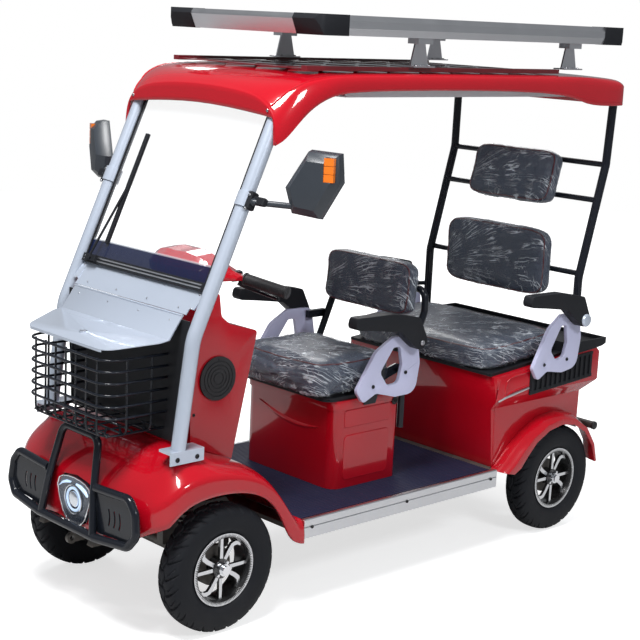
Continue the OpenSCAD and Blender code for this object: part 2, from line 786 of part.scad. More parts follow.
module screen_frame() {
  color("#131416") placed() leaned() {
    block([-glass_half_w - 9, -12, -10], [glass_half_w + 9, 8, glass_low]);
    both_sides() block([glass_half_w + seat_gap, -7, glass_low], [glass_half_w + 4.5, 5, glass_high]);
    block([-275, -26, -6], [-225, -12, 14]);
    rod([-250, -20, 4], [-250, -34, 4], 8);
    rod([-250, -30, 4], [-214, -14, 240], 4);
    block([-224, -12, 60], [-210, -2.3, 430]);
  }
}

// Roof
// Rows of y, outer edge x and its low z, then [x, z] up to the centre
roof_rows = [
  [148, 370, 1446, [366, 1505], [338, 1556], [250, 1592], 1606],
  [182, 383, 1468, [381, 1530], [360, 1588], [270, 1622], 1634],
  [248, 393, 1547, [392, 1588], [378, 1628], [320, 1642], 1652],
  [332, roof_half_w, 1591, [roof_half_w, 1628], [390, 1645], [340, 1652], roof_top - 2],
  [442, roof_half_w, 1607, [roof_half_w, 1640], [391, 1652], [340, 1657], roof_top],
  [1455, roof_half_w, 1607, [roof_half_w, 1640], [391, 1652], [340, 1657], roof_top],
  [1529, roof_half_w, 1553, [roof_half_w, 1638], [390, 1651], [340, 1656], roof_top],
  [1735, roof_half_w, 1552, [roof_half_w, 1630], [386, 1644], [335, 1650], roof_top - 5],
  [1768, 392, 1553, [392, 1622], [374, 1638], [325, 1643], roof_top - 13]
];
visor_arch = [[356, 1446], [355, 1498], [350, 1524], [290, 1531], [0, 1552]];
function roof_outside(r) = [[r[1], r[2]], r[3], r[4], r[5], [0, r[6]]];
function roof_inside(r) = let (w = panel_wall) [
  [r[1] - w, r[2]], r[3] - [w, w / 2], r[4] - [w, w] * 0.8, r[5] - [0, w], [0, r[6] - w]
];
module roof() {
  w = panel_wall;
  last = len(roof_rows) - 1;
  front = roof_rows[0];
  step = roof_rows[1][0] - front[0];
  near = [for (k = [0:6]) mix(front[k], roof_rows[1][k], w / step)];
  past = [for (k = [0:6]) mix(front[k], roof_rows[1][k], (w + 2) / step)];
  rear = roof_rows[last];
  back = [for (k = [0:6]) mix(rear[k], roof_rows[last - 1][k], w / 33)];
  skirt = [for (k = [0:4]) [(rear[1] - w) * (1 - k / 4), rear[2] + 1]];
  color("#c4141f") placed() shell_loft(concat(
    [[front[0], roof_outside(front), visor_arch], [near[0], roof_outside(near), visor_arch],
      [past[0], roof_outside(past), roof_inside(past)]],
    [for (k = [1:last - 1]) [roof_rows[k][0], roof_outside(roof_rows[k]), roof_inside(roof_rows[k])]],
    [[back[0] - 1, roof_outside(back), roof_inside(back)], [back[0], roof_outside(back), skirt],
      [rear[0], roof_outside(rear), skirt]]
  ));
}

// Raised side rails and diamond ribs on the roof
lattice_front = 300;
lattice_rear = 1480;
module roof_lattice() {
  base = roof_top + seat_gap;
  cells = 8;
  step = (lattice_rear - lattice_front) / cells;
  half = 296;
  color("#7d0d16") placed() {
    both_sides() block([half, lattice_front, roof_top - 3.2], [half + 26, lattice_rear, base + 11]);
    difference() {
      block([-half, lattice_front, base], [half, lattice_rear, base + 3]);
      for (k = [0:cells - 1], x = [-2:1]) translate([(x + 0.5) * half / 2, lattice_front + (k + 0.5) * step, base - 1])
        linear_extrude(6) polygon([[0, -step / 2 + 8], [half / 4 - 8, 0], [0, step / 2 - 8], [-half / 4 + 8, 0]]);
    }
  }
}

// Pale liner under the roof, carried by the roof rails
module roof_liner() {
  z = 1582;
  color("#e6e7ea") placed() {
    block([-345, 440, z], [345, 1571, z + 4]);
    both_sides() {
      block([341, 440, z], [345, 1571, z + 22]);
      for (y = [500, 777, 1100, 1533]) block([roof_rail_x - 10, y - 15, z], [roof_rail_x + 10, y + 15,
        roof_rail_z - roof_rail_r - seat_gap]);
    }
  }
}

// Rear posts, their crossbars, the armrest pivots and frame bolts
module rear_posts() {
  color("#141517") placed() {
    both_sides() {
      bent_tube(rear_post, rear_post_r, 90);
      translate(rear_post[0]) cylinder(r = 18, h = 6);
      rod([366, rear_post[0].y, rear_arm_pivot.z], [384, rear_arm_pivot.y, rear_arm_pivot.z], 8);
      pin_x(380, rear_frame_x + 57, rear_arm_pivot.y, rear_arm_pivot.z, pivot_r);
      for (h = rear_frame_holes) pin_x(rear_box_half_w + 9 + 2 * seat_gap, rear_frame_x + 18,
        rear_arm_pivot.y + h.x, rear_arm_pivot.z + h.y, 4.9);
    }
    for (z = [948, 1212, 1339])
      let (y = z < 1000 ? rear_post[1].y + 13.3 : mix(rear_post[1].y, rear_post[2].y, (z - 935) / 405))
      pin_x(-366, 366, y, z, 10);
  }
}

// Solar panel frame with sloped ends, corner blocks, panel and feet
solar_front = 304;
solar_rear = 1790;
solar_low = solar_top - solar_h;
block_l = 120;
module solar_frame() {
  lean = 14;
  color("#c7ccd3") placed() {
    both_sides() cross_plate([
      [solar_half_w - 42, solar_low], [solar_half_w - 6, solar_low], [solar_half_w, solar_low + 22],
      [solar_half_w, solar_top - 16], [solar_half_w - 8, solar_top], [solar_half_w - 42, solar_top]
    ], solar_front + block_l, solar_rear - block_l);
    for (s = [[solar_front, 1], [solar_rear, -1]])
      translate([0, s[0], 0]) scale_way(s[1]) side_plate([
        [0, solar_top - 16], [lean - 12, solar_top - 10], [8, solar_top], [42, solar_top], [42, solar_low], [20, solar_low]
      ], -solar_half_w + block_l, solar_half_w - block_l);
  }
}

module scale_way(way) {
  if (way > 0) children(); else mirror([0, 1, 0]) children();
}

module solar_corners() {
  half = solar_half_w;
  color("#1a1c1f") placed() both_sides() for (s = [[solar_front, 1], [solar_rear, -1]])
    translate([0, s[0], 0]) scale_way(s[1]) difference() {
      intersection() {
        translate([0, 0, solar_low - 1]) linear_extrude(solar_h + 2) polygon(rounded_outline([
          [half - block_l, -2, 0], [half + 1, -2, 26], [half + 1, block_l, 0], [half - block_l, block_l, 0]
        ]));
        side_plate([[-2, solar_top - 14], [6, solar_top + 1], [block_l, solar_top + 1], [block_l, solar_low - 1],
          [19, solar_low - 1]], half - block_l, half + 1);
      }
      block([0, 40, solar_low - 3], [half - 40, 300, solar_top + 3]);
    }
}

module solar_panel() {
  color("#101a2c") placed()
    block([-solar_half_w + 42.3, solar_front + 42.3, solar_low + 6],
      [solar_half_w - 42.3, solar_rear - 42.3, solar_top - 4]);
}

foot_places = [777, 1533];
module solar_feet() {
  x = 318;
  color("#b4b8bd") placed() both_sides() for (y = foot_places) translate([x, y, 0]) {
    block([-26, -48, roof_top + 11 + 2 * seat_gap], [26, 48, roof_top + 16]);
    side_plate([[-40, roof_top + 16], [-22, solar_low - 14], [22, solar_low - 14], [40, roof_top + 16]], -3, 3);
    block([-20, -34, solar_low - 18], [26, 34, solar_low - seat_gap]);
  }
}

// Mirrors
mirror_at = [520, 161];
mirror_turn = 23.5;
mirror_face = [[-87, 1337], [-63, 1262], [26, 1253], [88, 1362], [80, 1444], [-17, 1448]];
module at_mirror() {
  translate([mirror_at.x, mirror_at.y, 0]) rotate([0, 0, mirror_turn]) children();
}

module mirror_clamp() {
  p = post_point(1290);
  translate(p) rotate([-screen_lean, 0, 0]) translate([0, 0, -22]) cylinder(r = post_r + 5, h = 44);
}

// Point on the axis of the left windscreen post at a height
function post_point(z) = [post_x, post_bend.y + (z - post_bend.z) * tan(screen_lean), z];

module mirror_housings() {
  centre = [0, 1350];
  arm_root = post_point(1288) + [post_r + 5 + seat_gap, 0, 0];
  color("#2d3034") placed() both_sides() {
    at_mirror() difference() {
      loft([
        [for (p = mirror_face) [mix(p.x, centre.x, 0.32), -30, mix(p.y, centre.y, 0.3)]],
        [for (p = mirror_face) [mix(p.x, centre.x, 0.04), -4, mix(p.y, centre.y, 0.04)]],
        [for (p = mirror_face) [p.x, 22, p.y]]
      ]);
      translate([0, 17, 0]) loft([
        [for (p = mirror_face) [p.x * 0.93, 0, mix(p.y, centre.y, 0.07)]],
        [for (p = mirror_face) [p.x * 0.93, 9, mix(p.y, centre.y, 0.07)]]
      ]);
      translate([62, -24, 1402]) block([-20, -10, -38], [40, 12, 32]);
    }
    pin_x(arm_root.x, arm_root.x + 14, arm_root.y, arm_root.z, 11);
    rod(arm_root + [10, 0, 0], [468, 137, 1285], 9);
  }
}

module mirror_glass() {
  color("#c8d4de") placed() both_sides() at_mirror() translate([0, 17 + seat_gap, 0]) loft([
    [for (p = mirror_face) [p.x * 0.92, 0, mix(p.y, 1350, 0.08)]],
    [for (p = mirror_face) [p.x * 0.92, 3, mix(p.y, 1350, 0.08)]]
  ]);
}

// Amber lamps on the mirrors and tail lamps on the rear box
module signal_lamps() {
  color("#e8811a") placed() both_sides() {
    at_mirror() for (k = [0:2]) block([42.3, -27, 1364.4 + k * 23], [72, -12.3, 1386 + k * 23]);
    block([285, tail_y + seat_gap, 560], [345, tail_y + 12, 610]);
  }
}
tail_y = 1779;

// Steering: column shaft, handlebar, grips and levers
shaft_r = 14;
bar_r = 11;
grip_r = 16.5;
grip_end = [330, 255, 1000];
grip_start = [105, 187, 1036];
module tiller() {
  hold = mix(grip_start, grip_end, 0.5);
  color("#18191b") placed() {
    rod(column_foot, column_head, shaft_r);
    bent_tube([[-hold.x, hold.y, hold.z], [-grip_start.x, grip_start.y, grip_start.z], column_head,
      grip_start, hold], bar_r, 60);
    both_sides() {
      rod(mix(grip_start, grip_end, 0.34), grip_end, grip_r);
      bent_tube([[152, 208, 1026], [152, 222, 1000], [180, 248, 985], [268, 268, 970]], 5, 8);
    }
    translate([0, 0, tie_rod_z + tie_rod_r + seat_gap]) linear_extrude(12) {
      translate([-12, 0]) square([24, steer_arm]);
      circle(r = 18);
      translate([0, steer_arm]) circle(r = 14);
    }
  }
}

// Red pod over the middle of the handlebar, half of it as sections of
// [x, front y, rear y, low z, front top z, rear top z]
pod_rows = [
  [0, 44, 236, 1004, 1100, 1052], [45, 48, 234, 1004, 1102, 1052], [90, 58, 228, 1008, 1094, 1050],
  [130, 78, 222, 1014, 1078, 1044], [165, 120, 216, 1019, 1050, 1036], [190, 168, 210, 1022, 1034, 1030]
];
module dash_pod() {
  function section(r, side) = let (h = r[4] - r[3], l = r[2] - r[1]) [
    for (p = [
      [r[1] + l * 0.12, r[3]], [r[2] - l * 0.1, r[3]], [r[2], r[3] + h * 0.2], [r[2] - l * 0.04, r[5]],
      [r[1] + l * 0.55, r[4]], [r[1] + l * 0.2, r[4] - h * 0.06], [r[1], r[3] + h * 0.5], [r[1] + l * 0.02, r[3] + h * 0.15]
    ]) [side * r[0], p.x, p.y]];
  n = len(pod_rows) - 1;
  color("#c1141f") placed() loft(concat(
    [for (k = [n:-1:0]) section(pod_rows[k], -1)], [for (k = [1:n]) section(pod_rows[k], 1)]));
}

// Front seat
box_front = 576;
box_rear = 876;
box_low = deck_top + mat_t + seat_gap;
module front_seat_box() {
  half = seat_box_half_w;
  w = panel_wall;
  color("#b8131e") placed() difference() {
    union() {
      translate([0, 0, box_low]) linear_extrude(seat_box_top - box_low) polygon(box_plan(half, box_front, box_rear, 42));
      translate([0, 0, seat_box_top - 30]) linear_extrude(30) polygon(box_plan(half + 4, box_front - 5, box_rear, 44));
    }
    translate([0, 0, box_low - 1]) linear_extrude(400) polygon(box_plan(half - w, box_front + w, box_rear - w, 38));
    pin_x(half - 10, half + 10, 850, 560, 12);
  }
}

function box_plan(half, y0, y1, r) = rounded_outline([
  [-half, y0, r], [half, y0, r], [half, y1, r / 2], [-half, y1, r / 2]
]);

module battery() {
  color("#33363b") placed() {
    block([-150, 625, box_low], [150, 840, 470]);
    both_sides() block([60, 700, 470], [100, 760, 480]);
  }
}

// Seat pan that tips forward about the front edge of the box
seat_hinge = [box_front - 16, seat_box_top + 6];
pan_t = 12;
module seat_pan() {
  color("#17181a") placed() {
    difference() {
      translate([0, 0, seat_box_top + seat_gap]) linear_extrude(pan_t)
        polygon(box_plan(seat_box_half_w - 5, seat_hinge.x - 15, 868, 40));
      pin_x(-seat_box_half_w, seat_box_half_w, seat_hinge.x, seat_hinge.y, 3);
    }
  }
}

// Cushion solid of rounded slabs, from its plan box and its heights
module cushion(a, b, z0, z1, r) {
  hull() for (x = [a.x + r, b.x - r], y = [a.y + r, b.y - r], z = [z0 + r, z1 - r])
    translate([x, y, z]) sphere(r = r, $fn = 24);
}

module front_cushion() {
  z0 = seat_box_top + pan_t + 2 * seat_gap;
  color("#23283a") placed() cushion([-222, 498], [222, 856], z0, z0 + cushion_h, 34);
}

module front_back() {
  color("#23283a") placed() translate([0, 935, 925]) rotate([-4, 0, 0]) cushion([-212, -30], [212, 30], -95, 95, 26);
}

// Black tube loop behind the front back pad, and the armrest carriers
module front_back_frame() {
  tube_r = 12;
  foot_y = box_rear + tube_r + seat_gap;
  right = [[222, foot_y, 460], [222, foot_y, 640], [222, 977.3, 850], [222, 977.3, 925]];
  color("#141517") placed() {
    bent_tube(concat(
      [for (p = right) [-p.x, p.y, p.z]],
      [for (k = [len(right) - 1:-1:0]) right[k]]
    ), tube_r, 34);
    both_sides() {
      block([222 + tube_r + seat_gap, 868, 758], [252, 950, 784]);
      pin_x(251, front_arm_pivot.x + 24, front_arm_pivot.y, front_arm_pivot.z, pivot_r);
      side_plate([[700, 566], [752, 566], [776, 636], [868, 664], [868, 684], [840, 690], [690, 652]],
        seat_box_half_w + 4 + seat_gap, seat_box_half_w + 9);
      for (h = front_frame_holes) pin_x(seat_box_half_w + 8, front_frame_x + 26,
        front_arm_pivot.y + h.x, front_arm_pivot.z + h.y, 4.9);
    }
  }
}

// Pale ear-shaped frames under the armrests, outlines about the pivot
front_frame_x = 246;
rear_frame_x = 392;
front_frame = [[-222, -186, 15], [-256, -142, 16], [-172, -20, 60], [-94, 22, 24], [18, 19, 25], [38, -80, 50],
  [22, -182, 42], [-74, -184, 26], [-164, -160, 26]];
front_frame_gap = [[-150, -92, 18], [-92, -14, 12], [-60, -14, 12], [-47, -76, 20], [-60, -138, 22], [-112, -142, 22]];
front_frame_holes = [[-180, -135], [-30, -105]];
rear_frame = [[-196, -206, 15], [-228, -158, 16], [-150, -24, 60], [-84, 22, 24], [18, 19, 25], [36, -74, 50],
  [20, -180, 42], [-62, -192, 26], [-146, -178, 26]];
rear_frame_gap = [[-134, -104, 18], [-82, -20, 12], [-54, -18, 12], [-42, -84, 20], [-58, -138, 22], [-102, -142, 22]];
rear_frame_holes = [[-165, -151.5], [-38, -146]];
module arm_frame(outline, gap, holes, pivot, x0, t) {
  translate([0, pivot.y, pivot.z]) difference() {
    side_plate(rounded_outline(outline), x0, x0 + t);
    side_plate(rounded_outline(gap), x0 - 1, x0 + t + 1);
    for (h = holes) pin_x(x0 - 1, x0 + t + 1, h.x, h.y, 5);
    pin_x(x0 - 1, x0 + t + 1, 0, 0, pivot_r + run_gap);
  }
}

module arm_frames() {
  color("#cfd0e6") placed() both_sides() {
    arm_frame(front_frame, front_frame_gap, front_frame_holes, front_arm_pivot, front_frame_x + 10, 14);
    arm_frame(rear_frame, rear_frame_gap, rear_frame_holes, rear_arm_pivot, rear_frame_x, 14);
  }
}

// Armrest pad with its bracket, drawn for the front left pivot
module armrest(x0, x1) {
  difference() {
    side_plate(rounded_outline([
      [566, 846, 16], [576, 884, 14], [740, 882, 60], [866, 858, 18], [908, 776, 24], [880, 740, 24],
      [846, 762, 24], [776, 818, 30], [650, 836, 40]
    ]), x0, x1);
    pin_x(x0 - 1, x1 + 1, front_arm_pivot.y, front_arm_pivot.z, pivot_r + run_gap);
  }
}

module front_arm(side) {
  color("#191a1c") placed() scale_side(side) armrest(front_frame_x + 25, front_frame_x + 65);
}

rear_shift = [rear_arm_pivot.y - front_arm_pivot.y, rear_arm_pivot.z - front_arm_pivot.z];
module rear_arm(side) {
  color("#191a1c") placed() scale_side(side) translate([0, rear_shift.x, rear_shift.y])
    armrest(rear_frame_x + 15, rear_frame_x + 55);
}

// Rear box: side view, plan and front view cut from each other
well_r = 222;
well_x = 288;
module box_form(inset) {
  i = inset;
  low = deck_top + seat_gap - (i > 0 ? 10 : 0);
  intersection() {
    side_plate([
      [1240 + i, low], [1236 + i, 300], [1205 + i, 620 - i], [1760, rear_box_top - i], [tail_y - i, 648],
      [tail_y - i, 545], [1715 - i, 500], [1712 - i, low]
    ], -400, 400);
    translate([0, 0, 200]) linear_extrude(500) polygon(rounded_outline([
      [-380 + i, 1200 + i, 46], [380 - i, 1200 + i, 46], [380 - i, 1790, 20], [-380 + i, 1790, 20]
    ]));
    cross_plate([
      [-345 + i, low], [345 - i, low], [345 - i, 500], [rear_box_half_w - i, 540], [rear_box_half_w - i, 700],
      [-rear_box_half_w + i, 700], [-rear_box_half_w + i, 540], [-345 + i, 500]
    ], 1150, 1850);
  }
}

module rear_box() {
  w = panel_wall;
  color("#b8131e") placed() difference() {
    box_form(0);
    difference() {
      box_form(w);
      both_sides() pin_x(well_x - w, 420, wheelbase, axle_z, well_r + w);
    }
    both_sides() pin_x(well_x, 420, wheelbase, axle_z, well_r);
    both_sides() translate([0, wheelbase, 0]) block([well_x, -well_r, 0], [420, well_r, axle_z]);
  }
}

// Rows of angle from straight back, outer radius, inner edge radius
fender_rows = [
  [9, 226, 209], [28, 232, 208], [50, 240, 208], [72, 247, 208], [92, 250, 209], [112, 256, 212],
  [132, 268, 219], [148, 288, 226], [160, 312, 240], [166, 340, 268]
];
module rear_fenders() {
  x0 = 345 + seat_gap;
  w = 4;
  color("#b8131e") placed() both_sides() translate([0, wheelbase, axle_z]) fender_shell(x0, w);
}

module fender_shell(x0, w) {
  loft([for (r = fender_rows)
    let (mid = mix(r[1], r[2], 0.5))
    [for (p = [
      [x0, r[1]], [372, r[1]], [388, r[1] - 8], [405, mid + 2], [405, r[2]], [401, r[2]],
      [401, mid - 2], [385, r[1] - 10 - w], [x0, r[1] - w]
    ]) [p.x, p.y * cos(r[0]), p.y * sin(r[0])]]]);
}

// Black tray on top of the rear box, the cushion and the back pads
box_slope = (rear_box_top - 620) / 555;
tray_t = 11;
function on_box(y) = 620 + (y - 1205) * box_slope + seat_gap;
module rear_tray() {
  half = rear_box_half_w + 3;
  color("#17181a") placed() {
    side_plate([[1205, on_box(1205)], [1590, on_box(1590)], [1590, on_box(1590) + tray_t],
      [1196, on_box(1196) + tray_t], [1196, on_box(1205)]], -half + 28, half - 28);
    difference() {
      side_plate([[1590, on_box(1590)], [1758, on_box(1758)], [1790, rear_box_top + 4], [tray_rear, 676],
        [tray_rear, 698 - seat_gap], [1590, 698 - seat_gap]], -half, half);
      block([-half + 6, 1660, 684], [half - 6, tray_rear - 6, 700]);
    }
  }
}

// The cushion's underside lies along the tray
module rear_cushion() {
  lift = tray_t + seat_gap;
  color("#23283a") placed() side_plate(rounded_outline([
    [1172, on_box(1172) + lift, 26], [1588, on_box(1588) + lift, 20], [1588, 750, 30], [1500, 748, 60], [1172, 716, 34]
  ]), -350, 350);
}

module rear_backs() {
  color("#23283a") placed() {
    translate([0, 1604, 968]) cushion([-250, -28], [250, 26], -128, 128, 24);
    translate([0, 1668, 1274]) rotate([-14.8, 0, 0]) cushion([-202, -28], [202, 36.7], -102, 102, 24);
  }
}

chassis();
floor_deck();
floor_mat();
side_rails();
front_body();
headlamp();
bumper();
front_column();
grille_covers();
front_plate();
lid();
basket();
basket_back();
front_posts();
roof_frame();
windscreen();
screen_frame();
roof();
roof_lattice();
roof_liner();
rear_posts();
solar_frame();
solar_corners();
solar_panel();
solar_feet();
mirror_housings();
mirror_glass();
signal_lamps();
tiller();
dash_pod();
front_seat_box();
battery();
seat_pan();
front_cushion();
front_back();
front_back_frame();
arm_frames();
front_arm(1);  // arm_fl
front_arm(-1);  // arm_fr
rear_arm(1);  // arm_rl
rear_arm(-1);  // arm_rr
rear_box();
rear_tray();
rear_cushion();
rear_backs();
rear_fenders();
front_axle();
rear_axle();
tie_rod();
knuckle(1);  // knuckle_l
knuckle(-1);  // knuckle_r
tyre(0);  // tyre_fl
tyre(1);  // tyre_fr
tyre(2);  // tyre_rl
tyre(3);  // tyre_rr
rim(0);  // rim_fl
rim(1);  // rim_fr
rim(2);  // rim_rl
rim(3);  // rim_rr
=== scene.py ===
"""Looks of the roofed electric quadricycle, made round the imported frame.

Places are given in millimetres, measured back from the front axle and up from the
ground, as at(x, y, z); everything that Blender holds is in metres.
"""

import math

import bmesh
import bpy
from mathutils import Matrix, Vector, noise
from mathutils.bvhtree import BVHTree


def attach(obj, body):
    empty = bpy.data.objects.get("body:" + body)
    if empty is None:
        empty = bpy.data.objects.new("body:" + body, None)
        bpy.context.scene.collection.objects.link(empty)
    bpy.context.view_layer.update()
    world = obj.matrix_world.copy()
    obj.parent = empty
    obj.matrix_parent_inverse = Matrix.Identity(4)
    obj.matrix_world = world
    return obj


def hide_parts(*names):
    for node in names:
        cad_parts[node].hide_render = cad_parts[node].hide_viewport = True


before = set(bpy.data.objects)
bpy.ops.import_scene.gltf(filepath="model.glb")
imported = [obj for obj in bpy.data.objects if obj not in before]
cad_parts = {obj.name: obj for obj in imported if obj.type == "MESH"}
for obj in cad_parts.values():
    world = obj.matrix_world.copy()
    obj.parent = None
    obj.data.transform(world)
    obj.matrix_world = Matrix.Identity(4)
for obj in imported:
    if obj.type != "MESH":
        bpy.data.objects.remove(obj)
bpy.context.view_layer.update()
scene = bpy.context.scene
scene.view_settings.view_transform = "Standard"
MID_Y = 745  # middle of the vehicle, in millimetres behind the front axle
WHEEL_X, HUB_Z = 345, 197
WHEELS = (("fl", 1, 0), ("fr", -1, 0), ("rl", 1, 1560), ("rr", -1, 1560))  # name, side, place of its axle
LAMP_Z = 365
SEAT_BOX_SIDE = 225


def at(x, y, z):
    return Vector((x / 1000, (y - MID_Y) / 1000, z / 1000))


def millimetres(p):
    """The place of a point as (x, y behind the front axle, z) in millimetres."""
    return Vector((p[0] * 1000, p[1] * 1000 + MID_Y, p[2] * 1000))


# Camera at the photograph's place, worked out from the wheels and the roof
def place_camera():
    turn, dip, roll = math.radians(46.75), math.radians(11.59), math.radians(-2.67)
    focal_pixels, picture_pixels, sensor = 1483.3, 640, 36
    ahead = Vector((-math.sin(turn) * math.cos(dip), math.cos(turn) * math.cos(dip), -math.sin(dip)))
    right = Vector((math.cos(turn), math.sin(turn), 0))
    down = ahead.cross(right)
    across = math.cos(roll) * right + math.sin(roll) * down
    below = -math.sin(roll) * right + math.cos(roll) * down
    rows = Matrix((across, -below, -ahead)).transposed().to_4x4()
    data = bpy.data.cameras.new("camera")
    data.sensor_width = sensor
    data.lens = sensor * focal_pixels / picture_pixels
    camera = bpy.data.objects.new("camera", data)
    camera.matrix_world = Matrix.Translation(at(3581, -2667, 1819)) @ rows
    scene.collection.objects.link(camera)
    scene.camera = camera


place_camera()


# Shared effects
MIX_FACTOR, MIX_UNDER, MIX_OVER, MIX_COLOUR = 0, 6, 7, 2  # the colour sockets of a Mix node


def new_group(name, inputs, outputs):
    tree = bpy.data.node_groups.new(name, "ShaderNodeTree")
    for label, kind, value in inputs:
        socket = tree.interface.new_socket(name=label, in_out="INPUT", socket_type="NodeSocket" + kind)
        socket.default_value = value
    for label, kind in outputs:
        tree.interface.new_socket(name=label, in_out="OUTPUT", socket_type="NodeSocket" + kind)
    return tree, tree.nodes.new("NodeGroupInput").outputs, tree.nodes.new("NodeGroupOutput")


def fill(tree, made, values):
    """Links or sets inputs, each given by its name or number."""
    for key, value in values:
        if isinstance(value, bpy.types.NodeSocket):
            tree.links.new(value, made.inputs[key])
        else:
            made.inputs[key].default_value = value
    return made


def node(tree, kind, values=(), **facts):
    made = tree.nodes.new("ShaderNode" + kind)
    for key, value in facts.items():
        setattr(made, key, value)
    return fill(tree, made, values)


def use(tree, group, values=()):
    return node(tree, "Group", values, node_tree=group).outputs


def reckon(tree, operation, *values, clamp=False):
    return node(tree, "Math", enumerate(values), operation=operation, use_clamp=clamp).outputs[0]


def reckon_vector(tree, operation, *values):
    return node(tree, "VectorMath", enumerate(values), operation=operation).outputs


def ramp(tree, value, low, high, at_low, at_high):
    return node(tree, "MapRange", enumerate((value, low, high, at_low, at_high))).outputs[0]


def own_place(tree):
    return node(tree, "TexCoord").outputs["Object"]


def own_axis(tree, axis):
    return node(tree, "SeparateXYZ", [(0, own_place(tree))]).outputs[axis]


def patches(tree, scale, detail, distortion=0.0):
    return node(tree, "TexNoise", [("Vector", own_place(tree)), ("Scale", scale), ("Detail", detail),
                                   ("Distortion", distortion)]).outputs


def rgba(colour):
    return (*colour, 1.0)


def blend(tree, mask, under, over):
    """Colour under, painted with the colour over where the mask is 1; each is a socket or a triple."""
    under, over = (tone if isinstance(tone, bpy.types.NodeSocket) else rgba(tone) for tone in (under, over))
    return node(tree, "Mix", [(MIX_FACTOR, mask), (MIX_UNDER, under), (MIX_OVER, over)],
                data_type="RGBA").outputs[MIX_COLOUR]


def bump(tree, shader, height, strength, distance):
    made = node(tree, "Bump", [("Height", height), ("Strength", strength), ("Distance", distance)])
    fill(tree, shader, [("Normal", made.outputs[0])])


def make_drift():
    """Colour that drifts between two tones in soft patches."""
    tree, given, out = new_group("colour drift", [
        ("Colour", "Color", (0.5, 0.5, 0.5, 1)), ("Other Colour", "Color", (0.4, 0.4, 0.4, 1)),
        ("Scale", "Float", 6.0), ("Amount", "Float", 0.5)], [("Colour", "Color")])
    amount = reckon(tree, "MULTIPLY", patches(tree, given["Scale"], 4.0)["Fac"], given["Amount"])
    fill(tree, out, [("Colour", blend(tree, amount, given["Colour"], given["Other Colour"]))])
    return tree


def make_smudge():
    """Roughness with faint wipes and smudges."""
    tree, given, out = new_group("smudged gloss", [
        ("Roughness", "Float", 0.3), ("Spread", "Float", 0.1), ("Scale", "Float", 14.0)],
        [("Roughness", "Float")])
    level = reckon(tree, "SUBTRACT", patches(tree, given["Scale"], 6.0, 0.6)["Fac"], 0.5)
    fill(tree, out, [("Roughness", reckon(tree, "MULTIPLY_ADD", level, given["Spread"], given["Roughness"]))])
    return tree


def make_grain():
    """Fine moulded or cast grain, as a height."""
    tree, given, out = new_group("fine grain", [("Scale", "Float", 600.0)], [("Height", "Float")])
    fill(tree, out, [("Height", patches(tree, given["Scale"], 3.0)["Fac"])])
    return tree


def make_wear():
    """Mask of rubbed edges and corners."""
    tree, given, out = new_group("rubbed edges", [("Amount", "Float", 0.5)], [("Mask", "Float")])
    rounded = node(tree, "Bevel", [("Radius", 0.0035)], samples=4).outputs[0]
    turn = reckon_vector(tree, "DOT_PRODUCT", rounded, node(tree, "NewGeometry").outputs["Normal"])["Value"]
    broken = reckon(tree, "MULTIPLY", ramp(tree, turn, 0.97, 0.8, 0.0, 1.0), patches(tree, 70.0, 5.0)["Fac"])
    fill(tree, out, [("Mask", reckon(tree, "MULTIPLY", broken, given["Amount"], clamp=True))])
    return tree


def make_dust():
    """Mask of road dust that thins out with height."""
    tree, given, out = new_group("road dust", [("Top", "Float", 0.35), ("Amount", "Float", 0.3)],
                                 [("Mask", "Float")])
    low = ramp(tree, own_axis(tree, "Z"), 0.0, given["Top"], 1.0, 0.0)
    speck = reckon(tree, "MULTIPLY", low, patches(tree, 22.0, 7.0)["Fac"])
    fill(tree, out, [("Mask", reckon(tree, "MULTIPLY", speck, given["Amount"], clamp=True))])
    return tree


def make_folds():
    """Sharp folds of thin clear film, fanning out along its fold places: a height and a mask of the painted
    highlight crests.
    """
    tree, given, out = new_group("film folds", [("Scale", "Float", 1.0)],
                                 [("Height", "Float"), ("Painted Highlight Crests", "Float")])
    place = node(tree, "Attribute", attribute_name="fold_place").outputs["Vector"]
    route = reckon_vector(tree, "ADD", place, patches(tree, 9.0, 3.0)["Color"])[0]
    masks = []
    for stretch, sharp in (((1.3, 0.16, 1.0), 48.0), ((3.0, 0.2, 1.0), 34.0), ((0.7, 2.2, 1.0), 62.0)):
        drawn = reckon_vector(tree, "MULTIPLY", route, stretch)[0]
        folds = node(tree, "TexNoise", [("Vector", drawn), ("Scale", given["Scale"]), ("Detail", 1.6),
                                        ("Roughness", 0.45)])
        far = reckon(tree, "ABSOLUTE", reckon(tree, "SUBTRACT", folds.outputs["Fac"], 0.5))
        masks.append(reckon(tree, "MULTIPLY_ADD", far, -sharp, 1.0, clamp=True))
    along, also_along, across = masks
    height = reckon(tree, "MAXIMUM", reckon(tree, "MAXIMUM", along, also_along),
                    reckon(tree, "MULTIPLY", across, 0.6))
    # Only some crests get the painted highlight, in patches.
    part = ramp(tree, patches(tree, 16.0, 2.0)["Fac"], 0.42, 0.6, 0.06, 1.0)
    fill(tree, out, [("Height", height), ("Painted Highlight Crests", reckon(tree, "MULTIPLY", height, part))])
    return tree


DRIFT, SMUDGE, GRAIN, WEAR, DUST, FOLDS = (
    make_drift(), make_smudge(), make_grain(), make_wear(), make_dust(), make_folds())
DUST_TONE = (0.36, 0.32, 0.27)


def new_material(name):
    material = bpy.data.materials.new(name)
    material.use_nodes = True
    tree = material.node_tree
    return material, tree, tree.nodes["Principled BSDF"]


